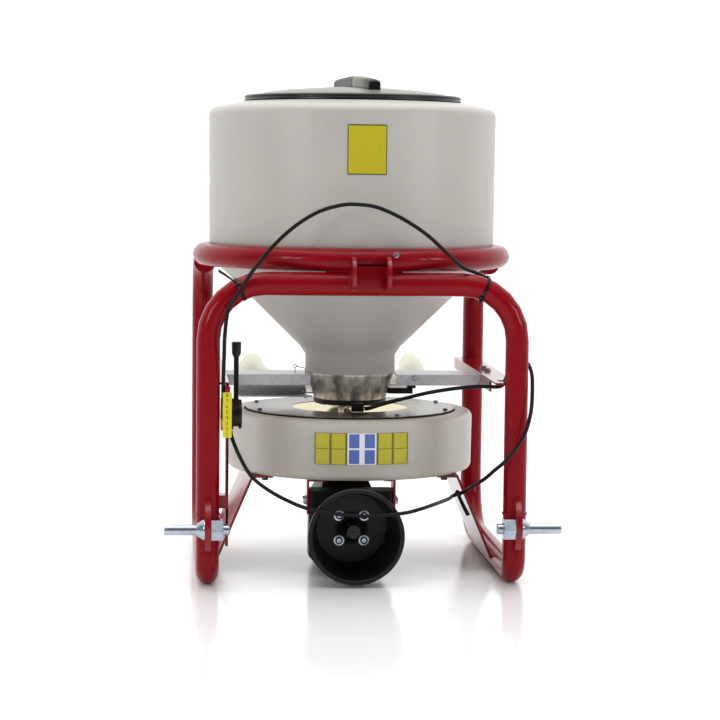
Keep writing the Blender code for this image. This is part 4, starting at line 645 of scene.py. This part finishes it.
# printing ink: matt black
BLACK_INK = coat("black_printing_ink", "#101010", "#1a1a1a", 8.0, 0.8, 0.002, 0.6)
FIGURE_TALL = 0.0095
FIGURE_THICK = 0.0001
FIGURE_X = -0.2790
FIGURE_Y = -0.33811
FIRST_FIGURE_Z = 0.3155
FIGURE_STEP = 0.0114
upright = Matrix.Rotation(math.radians(90), 4, "X")
figures = bmesh.new()
for index in range(8):
    words = bpy.data.curves.new("figure", "FONT")
    words.body = str(index + 1)
    words.size = FIGURE_TALL
    words.extrude = FIGURE_THICK
    words.align_x = "CENTER"
    words.align_y = "CENTER"
    holder = stood("figure", words)
    flat = settled(holder)
    flat.transform(Matrix.Translation((FIGURE_X, FIGURE_Y, FIRST_FIGURE_Z + FIGURE_STEP * index)) @ upright)
    figures.from_mesh(flat)
    bpy.data.objects.remove(holder, do_unlink=True)
piece("scale_figures", figures, BLACK_INK)
# a round cover closes the box on its left, and a smaller one turns with the lever's hub on its right
LEVER_Y = -0.290
LEVER_Z = 0.3524
BOX_COVER_X = -0.2808
HUB_COVER_X = -0.2541
BOX_COVER_OUTLINE = ((0.0072, 0.0), (0.0335, 0.0), (0.0345, 0.001), (0.0345, 0.0080), (0.0330, 0.0100),
                     (0.0120, 0.0108), (0.0110, 0.0095), (0.0072, 0.0095))
HUB_COVER_OUTLINE = ((0.0085, 0.0), (0.0300, 0.0), (0.0305, 0.001), (0.0305, 0.0045), (0.0290, 0.0062),
                     (0.0100, 0.0066), (0.0085, 0.0055))
box_cover = turned(bmesh.new(), BOX_COVER_OUTLINE, (BOX_COVER_X, LEVER_Y, LEVER_Z), (-1, 0, 0))
piece("lever_box_cover", box_cover, BLACK_PP)
hub_cover = turned(bmesh.new(), HUB_COVER_OUTLINE, (HUB_COVER_X, LEVER_Y, LEVER_Z), (1, 0, 0))
piece("lever_hub_cover", hub_cover, BLACK_PP, "lever")


# Screws and nuts
# Zinc plated hexagon screws with washers hold the wings, the cover plate, the side plates, the brackets and
# the collar's lugs. Each set is one like piece repeated at its seats.
def screw_tree(finish):
    """A washer and a hexagon head on each point, along the point's own "up"."""
    tree = bpy.data.node_groups.new("hexagon_screws", "GeometryNodeTree")
    tree.interface.new_socket("Seats", in_out="INPUT", socket_type="NodeSocketGeometry")
    for label in ("Corner Radius", "Head Height", "Washer Radius", "Washer Thickness"):
        tree.interface.new_socket(label, in_out="INPUT", socket_type="NodeSocketFloat")
    tree.interface.new_socket("Screws", in_out="OUTPUT", socket_type="NodeSocketGeometry")
    entry = add(tree, "NodeGroupInput")
    thick = entry.outputs["Washer Thickness"]
    head_h = entry.outputs["Head Height"]
    corner = entry.outputs["Corner Radius"]
    washer = add(tree, "GeometryNodeMeshCylinder",
                 {"Vertices": 24, "Radius": entry.outputs["Washer Radius"], "Depth": thick})
    half = add(tree, "ShaderNodeMath", {0: thick, 1: 0.5}, operation="MULTIPLY")
    lift = add(tree, "ShaderNodeCombineXYZ", {"Z": half.outputs[0]})
    seated = add(tree, "GeometryNodeTransform",
                 {"Geometry": washer.outputs[0], "Translation": lift.outputs[0]})
    body_h = add(tree, "ShaderNodeMath", {0: head_h, 1: 0.78}, operation="MULTIPLY")
    hexagon = add(tree, "GeometryNodeMeshCone", {"Vertices": 6, "Radius Top": corner, "Radius Bottom": corner,
                                                 "Depth": body_h.outputs[0]})
    on_washer = add(tree, "ShaderNodeCombineXYZ", {"Z": thick})
    head = add(tree, "GeometryNodeTransform",
               {"Geometry": hexagon.outputs[0], "Translation": on_washer.outputs[0]})
    slim = add(tree, "ShaderNodeMath", {0: corner, 1: 0.84}, operation="MULTIPLY")
    tip_h = add(tree, "ShaderNodeMath", {0: head_h, 1: 0.22}, operation="MULTIPLY")
    tip = add(tree, "GeometryNodeMeshCone", {"Vertices": 18, "Radius Top": slim.outputs[0],
                                             "Radius Bottom": corner, "Depth": tip_h.outputs[0]})
    neck = add(tree, "ShaderNodeMath", {0: thick, 1: body_h.outputs[0]}, operation="ADD")
    up = add(tree, "ShaderNodeCombineXYZ", {"Z": neck.outputs[0]})
    crown = add(tree, "GeometryNodeTransform", {"Geometry": tip.outputs[0], "Translation": up.outputs[0]})
    whole = add(tree, "GeometryNodeJoinGeometry")
    for part in (seated, head, crown):
        tree.links.new(part.outputs[0], whole.inputs[0])
    way = add(tree, "GeometryNodeInputNamedAttribute", {"Name": "up"}, data_type="FLOAT_VECTOR")
    spin = add(tree, "FunctionNodeRandomValue", {2: 0.0, 3: 6.283, "Seed": 7}, data_type="FLOAT")
    about = add(tree, "FunctionNodeAxisAngleToRotation", {"Axis": (0.0, 0.0, 1.0), "Angle": spin.outputs[1]})
    facing = add(tree, "FunctionNodeAlignRotationToVector", {"Vector": way.outputs[0]}, axis="Z")
    turn = add(tree, "FunctionNodeRotateRotation", {0: facing.outputs[0], 1: about.outputs[0]},
               rotation_space="LOCAL")
    seats = entry.outputs["Seats"]
    placed = add(tree, "GeometryNodeInstanceOnPoints",
                 {"Points": seats, "Instance": whole.outputs[0], "Rotation": turn.outputs[0]})
    real = add(tree, "GeometryNodeRealizeInstances", {"Geometry": placed.outputs[0]})
    plated = add(tree, "GeometryNodeSetMaterial", {"Geometry": real.outputs[0], "Material": finish})
    add(tree, "NodeGroupOutput", {"Screws": plated.outputs[0]})
    return tree


def screws(name, tree, size, seats):
    """Screws of one thread size, in metres, from their seats and the ways they face."""
    mesh = bpy.data.meshes.new(name)
    mesh.from_pydata([seat for seat, _ in seats], [], [])
    ways = mesh.attributes.new("up", "FLOAT_VECTOR", "POINT")
    for index, (_, way) in enumerate(seats):
        ways.data[index].vector = way
    sizes = {"Corner Radius": size * 0.93, "Head Height": size * 0.65, "Washer Radius": size * 1.05,
             "Washer Thickness": size * 0.18}
    grown(name, mesh, tree, sizes, "frame")


M8 = 0.008
M6 = 0.006
M5 = 0.005
PLATED_SCREWS = screw_tree(ZINC_PLATE)
# zinc plate that has been outdoors: duller and darker than new
AGED_ZINC = coat("weathered_zinc_plate", "#4b4c4f", "#86888c", 6.0, 0.6, 0.02, 0.38, Metallic=1.0)
AGED_SCREWS = screw_tree(AGED_ZINC)
UP = (0, 0, 1)
DOWN = (0, 0, -1)
WING_SCREW_X = 0.297
WING_SCREW_YS = (-0.053, 0.007)
rail_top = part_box("side_rail_left")[1][2]
wing_seats = [((side * WING_SCREW_X, y, rail_top), UP) for side in (-1, 1) for y in WING_SCREW_YS]
screws("wing_screws", AGED_SCREWS, M8, wing_seats)
PLATE_SCREW_R = 0.218
plate_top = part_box("fan_cover_plate")[1][2]
ring = [math.radians(22.5 + 45 * i) for i in range(8)]
plate_seats = [((PLATE_SCREW_R * math.cos(t), PLATE_SCREW_R * math.sin(t), plate_top), UP) for t in ring]
screws("cover_plate_screws", AGED_SCREWS, M5, plate_seats)
TAB_GAP = 0.0003
TAB_THICK = 0.0055
TAB_SCREW_XS = (-0.192, 0.192)
TAB_SCREW_YS = (-0.148, 0.148)
tab_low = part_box("fan_housing")[0][2] - TAB_GAP - TAB_THICK
tab_seats = [((x, y, tab_low), DOWN) for x in TAB_SCREW_XS for y in TAB_SCREW_YS]
screws("side_plate_screws", AGED_SCREWS, M8, tab_seats)
BRACKET_SCREW_Z = 0.160
BRACKET_SCREW_YS = (-0.212, -0.185)
bracket_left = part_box("gearbox_bracket_left")[0][0]
bracket_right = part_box("gearbox_bracket_right")[1][0]
bracket_faces = ((bracket_left, (-1, 0, 0)), (bracket_right, (1, 0, 0)))
bracket_seats = [((x, y, BRACKET_SCREW_Z), way) for x, way in bracket_faces for y in BRACKET_SCREW_YS]
screws("bracket_screws", PLATED_SCREWS, M8, bracket_seats)
# one on the collar's left lug, one in the front of the right wing and one in the front of the hoop
lug_seats = [((-0.101, 0.002, 0.3706), UP), ((0.1325, -0.0900, 0.4085), OUTWARD),
             ((0.062, -0.3457, 0.683), (0, -1, 0.2))]
screws("lug_screws", PLATED_SCREWS, M6, lug_seats)


# Right lug
# A black bar with a squared head shows under the right wing, beside the collar. Both are taken to be moulded
# polypropylene, as the ring at the collar's foot is.
block("collar_lug_bar", (0.0810, -0.0300, 0.3690), (0.1360, -0.0100, 0.3815), BLACK_PP, 0.8)
block("collar_lug_head", (0.1240, -0.0330, 0.3810), (0.1423, -0.0100, 0.4000), BLACK_PP, 1.0)


# Latch clip
# A clip bent from 1.6 mm zinc plated wire stands on the left wing beside the tank's neck. A short leg carries
# its eye, and a longer arm goes down to the sheet.
CLIP_X = -0.1235
CLIP_Y = -0.045
CLIP_EYE_R = 0.0032
CLIP_EYE_RISE = 0.0150
wing_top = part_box("wing_left")[1][2]
turns = [math.radians(a) for a in range(0, 390, 30)]
eye_z = wing_top + CLIP_EYE_RISE
eye = [(CLIP_X + CLIP_EYE_R * math.cos(t), CLIP_Y, eye_z + CLIP_EYE_R * math.sin(t)) for t in turns]
leg = [(CLIP_X, CLIP_Y, wing_top), (CLIP_X, CLIP_Y, eye_z - CLIP_EYE_R)]
arm = [(-0.1205, CLIP_Y, wing_top + 0.0140), (-0.1050, CLIP_Y, wing_top + 0.0105),
       (-0.1015, CLIP_Y, wing_top + 0.0095), (-0.1010, CLIP_Y, wing_top)]
grown("latch_clip", lines("latch_paths", (eye, leg, arm)), bead_tree("bent_wire", AGED_ZINC),
      {"Radius": 0.0008, "Ripple": 0.0, "Pitch": 0.0015}, "frame")


# Cable ties
# Black nylon ties, 5.5 to 7 mm wide, hold the upper cable to both bends of the arch and the lower cable to
# the right side plate. Each is a thin strap with a square head and a cut tail.
# injection moulded nylon: smooth, slightly shiny black
NYLON = coat("black_nylon", "#060606", "#0e0e0f", 10.0, 0.5, 0.005, 0.32, **{"Specular IOR Level": 0.25})
STRAP_SIDES = 60
STRAP_THICK = 0.0013
STRAP_CORNERS = ((0.0, -0.5), (STRAP_THICK, -0.5), (STRAP_THICK, 0.5), (0.0, 0.5))
TAIL_THICK = 0.0014
TAIL_STEPS = 6
TAIL_SAG = 0.002
HEAD_TALL = 0.0060
HEAD_EASE = 0.0008


def skin(build, rows):
    """Four-sided walls between each row of four corners and the next."""
    for first, second in zip(rows, rows[1:]):
        for corner in range(4):
            after = (corner + 1) % 4
            build.faces.new((first[corner], first[after], second[after], second[corner]))


def tie(name, rounds, along, knot, out, tail, width, tail_width):
    """A strap pulled round circles in one plane, its head at a point facing out and its tail to an end."""
    across = Vector(along).normalized()
    turn = across.to_track_quat("Z", "Y")
    middle = Vector(rounds[0][0])
    circles = []
    for centre, radius in rounds:
        offset = Vector(centre) - middle
        circles.append((middle + offset - across * offset.dot(across), radius))
    build = bmesh.new()
    rows = []
    for index in range(STRAP_SIDES):
        angle = 2.0 * math.pi * index / STRAP_SIDES
        way = turn @ Vector((math.cos(angle), math.sin(angle), 0.0))
        centre, radius = max(circles, key=lambda circle: circle[0].dot(way) + circle[1])
        rows.append([build.verts.new(centre + way * (radius + lift) + across * (width * side))
                     for lift, side in STRAP_CORNERS])
    skin(build, rows + rows[:1])
    out = Vector(out).normalized()
    seat = Vector(knot)
    stance = Matrix((across, out.cross(across), out)).transposed().to_4x4()
    size = Matrix.Diagonal((width * 1.6, width * 1.3, HEAD_TALL, 1.0))
    head = bmesh.ops.create_cube(build, size=1.0, matrix=Matrix.Translation(seat) @ stance @ size)["verts"]
    edges = list(dict.fromkeys(edge for corner in head for edge in corner.link_edges))
    bmesh.ops.bevel(build, geom=edges, offset=HEAD_EASE, segments=2, profile=0.5, affect="EDGES")
    flat = (Vector(tail) - seat).normalized().cross(out).normalized()
    rows = []
    for index in range(TAIL_STEPS + 1):
        share = index / TAIL_STEPS
        half = (width + (tail_width - width) * share) / 2.0
        spot = seat.lerp(Vector(tail), share) + out * (TAIL_SAG * math.sin(math.pi * share))
        rows.append([build.verts.new(spot + flat * side + out * lift) for side, lift in
                     ((-half, 0.0), (half, 0.0), (half, TAIL_THICK), (-half, TAIL_THICK))])
    skin(build, rows)
    build.faces.new(rows[0])
    build.faces.new(rows[-1])
    piece(name, build, NYLON)


# each with the circles it goes round, its axis, its head's place and facing, its tail's end and both widths
tie("tie_left_bend", (((-0.2540, -LEG_Y, 0.6112), 0.0245), ((-0.2541, -0.3586, 0.6114), 0.0044)),
    (0.896, 0, 0.443), (-0.2591, -0.3520, 0.6225), (-0.355, -0.598, 0.718), (-0.2989, -0.3750, 0.6506),
    0.0055, 0.0085)
tie("tie_right_bend", (((0.2479, -LEG_Y, 0.6139), 0.0245), ((0.2479, -0.3010, 0.6400), 0.0044)),
    (0.920, 0, -0.391), (0.2395, -0.3440, 0.5965), (-0.24, -0.80, -0.55), (0.2362, -0.3440, 0.5880),
    0.0060, 0.0050)
tie("tie_lower_cable", (((0.2215, -0.1740, 0.1690), 0.0042),),
    (-0.3, 1, 0.1), (0.2175, -0.1780, 0.1725), (-0.6, -0.5, 0.6), (0.2431, -0.1720, 0.1215),
    0.0070, 0.0100)


# Blank stickers
# Vinyl panels stand where the machine carries its notices: one on the tank, one on the fan housing. They are
# left without words or symbols.
# patches of dust 17 mm across, as many as this to a metre
DUST_PER_M = 60.0
DUST_DEPTH = 0.00003
# the blue cells lie this close to the middle of the panel, as a share of its width
MIDDLE_HALF = 0.155
# how far the back and the face of a sticker stand off the wall
STICKER_DEPTHS = (0.00005, 0.00035)
PANEL_STEPS = 14


def sticker_vinyl(name, ground, edge, columns, rows, line):
    """Gloss vinyl in plain cells, read from the panel's own map."""
    made = bpy.data.materials.new(name)
    made.use_nodes = True
    tree = made.node_tree
    tree.nodes.clear()
    flat = add(tree, "ShaderNodeUVMap", uv_map="panel")
    grid = {"Vector": flat.outputs[0], "Scale": 1.0, "Brick Width": 1.0 / columns, "Row Height": 1.0 / rows}
    even = {"offset": 0.0, "offset_frequency": 1, "squash": 1.0}
    plain = {"Color1": colour(ground), "Color2": colour(ground), "Mortar": colour(edge), "Mortar Size": line,
             "Mortar Smooth": 0.0}
    cells = add(tree, "ShaderNodeTexBrick", {**grid, **plain}, **even)
    spread = add(tree, "ShaderNodeTexCoord").outputs["Object"]
    dust = add(tree, "ShaderNodeTexNoise", {"Vector": spread, "Scale": DUST_PER_M, "Detail": 3.0})
    gloss = add(tree, "ShaderNodeMapRange", {"Value": dust.outputs[0], "To Min": 0.22, "To Max": 0.38})
    raised = add(tree, "ShaderNodeBump",
                 {"Height": dust.outputs[0], "Distance": DUST_DEPTH, "Strength": 1.0})
    tone = cells.outputs[0]
    if columns > 1:
        place = add(tree, "ShaderNodeSeparateXYZ", {0: flat.outputs[0]})
        middle = add(tree, "ShaderNodeMath", {0: place.outputs[0], 1: 0.5, 2: MIDDLE_HALF},
                     operation="COMPARE")
        framed = {"Color1": colour("#4a63b4"), "Color2": colour("#5870bd"), "Mortar": colour("#e9ebf0"),
                  "Mortar Size": 0.030, "Mortar Smooth": 0.1}
        blue = add(tree, "ShaderNodeTexBrick", {**grid, **framed}, **even)
        tone = add(tree, "ShaderNodeMix", {0: middle.outputs[0], 6: cells.outputs[0], 7: blue.outputs[0]},
                   data_type="RGBA").outputs[2]
    look = add(tree, "ShaderNodeBsdfPrincipled", {"Base Color": tone, "Roughness": gloss.outputs[0],
                                                  "Normal": raised.outputs[0], "Coat Weight": 0.3})
    add(tree, "ShaderNodeOutputMaterial", {"Surface": look.outputs[0]})
    return made


def panel(name, finish, radii, heights, x_low, x_high):
    """A thin sticker bent round the front of an upright round wall, with its own map."""
    z_low, z_high = heights
    build = bmesh.new()
    layer = build.loops.layers.uv.new("panel")
    grid = []
    for depth in STICKER_DEPTHS:
        rows = []
        for z, radius in zip(heights, radii):
            row = []
            for index in range(PANEL_STEPS + 1):
                x = x_low + (x_high - x_low) * index / PANEL_STEPS
                reach = radius + depth
                row.append(build.verts.new((x, -math.sqrt(reach * reach - x * x), z)))
            rows.append(row)
        grid.append(rows)
    inner, outer = grid
    for index in range(PANEL_STEPS):
        after = index + 1
        build.faces.new((outer[0][index], outer[0][after], outer[1][after], outer[1][index]))
        build.faces.new((inner[0][index], inner[1][index], inner[1][after], inner[0][after]))
        for side in (0, 1):
            build.faces.new((inner[side][index], inner[side][after], outer[side][after], outer[side][index]))
    for end in (0, PANEL_STEPS):
        build.faces.new((inner[0][end], outer[0][end], outer[1][end], inner[1][end]))
    for face in build.faces:
        for loop in face.loops:
            spot = loop.vert.co
            loop[layer].uv = ((spot.x - x_low) / (x_high - x_low), (spot.z - z_low) / (z_high - z_low))
    piece(name, build, finish)


# printed vinyl: strong yellow under a clear gloss film, with a thin dark edge line
PANEL_YELLOW = sticker_vinyl("yellow_vinyl_film", "#b9ad16", "#4c4a1c", 1, 1, 0.022)
panel("tank_panel", PANEL_YELLOW, (0.31060, 0.31132), (0.846, 0.948), -0.036, 0.045)
# the same film in six columns of plain cells, the middle two blue on white
PANEL_CELLS = sticker_vinyl("celled_vinyl_film", "#bdb21a", "#66651c", 6, 2, 0.012)
panel("housing_panel", PANEL_CELLS, (0.2684, 0.2685), (0.2435, 0.3096), -0.094, 0.102)


# Studio
# The machine stands on a pale seamless floor. A white sweep behind and above lights it softly, and the room
# on the camera's side is dimmer, so that the fronts keep their own colour.
# painted boards: near white with a soft sheen, so the runners and the shield leave a faint reflection
FLOOR_PAINT = coat("studio_floor_paint", "#f4f4f5", "#ffffff", 400.0, 3.0, 0.02, 0.16)
floor_build = bmesh.new()
corners = [floor_build.verts.new((x, y, 0.0)) for x, y in ((-60, -12), (60, -12), (60, 160), (-60, 160))]
floor_build.faces.new(corners)
floor_mesh = cast("studio_floor", floor_build)
floor_mesh.materials.append(FLOOR_PAINT)
floor = stood("studio_floor", floor_mesh)


def lamp(name, place, target, size, watts):
    """A square soft lamp that faces a point."""
    light = bpy.data.lights.new(name, "AREA")
    light.size = size
    light.energy = watts
    made = stood(name, light)
    facing = (Vector(target) - Vector(place)).to_track_quat("-Z", "Y")
    made.matrix_world = Matrix.Translation(place) @ facing.to_matrix().to_4x4()


lamp("overhead", (0.0, -0.2, 3.6), (0.0, 0.0, 0.0), 3.0, 60.0)
lamp("left_soft", (-2.8, -2.6, 1.6), (0.0, 0.0, 0.5), 1.0, 30.0)
lamp("right_soft", (2.9, -2.2, 1.4), (0.0, 0.0, 0.5), 1.0, 26.0)
sweep = bpy.data.worlds.new("white_sweep")
sweep.use_nodes = True
room = sweep.node_tree
room.nodes.clear()
way = add(room, "ShaderNodeTexCoord").outputs["Generated"]
parts = add(room, "ShaderNodeSeparateXYZ", {0: way})
# the room is dim at the camera's back and bright past the machine, and its ceiling is bright all round
behind = add(room, "ShaderNodeMapRange", {"Value": parts.outputs[1], "From Min": -0.35, "From Max": 0.35,
                                          "To Min": 0.17, "To Max": 1.30}, interpolation_type="SMOOTHSTEP")
above = add(room, "ShaderNodeMapRange", {"Value": parts.outputs[2], "From Min": 0.45, "From Max": 0.90,
                                         "To Min": 0.0, "To Max": 1.10}, interpolation_type="SMOOTHSTEP")
level = add(room, "ShaderNodeMath", {0: behind.outputs[0], 1: above.outputs[0]}, operation="MAXIMUM")
glow = add(room, "ShaderNodeBackground", {"Color": colour("#ffffff"), "Strength": level.outputs[0]})
add(room, "ShaderNodeOutputWorld", {"Surface": glow.outputs[0]})
bpy.context.scene.world = sweep
bpy.context.scene.view_settings.view_transform = "Standard"
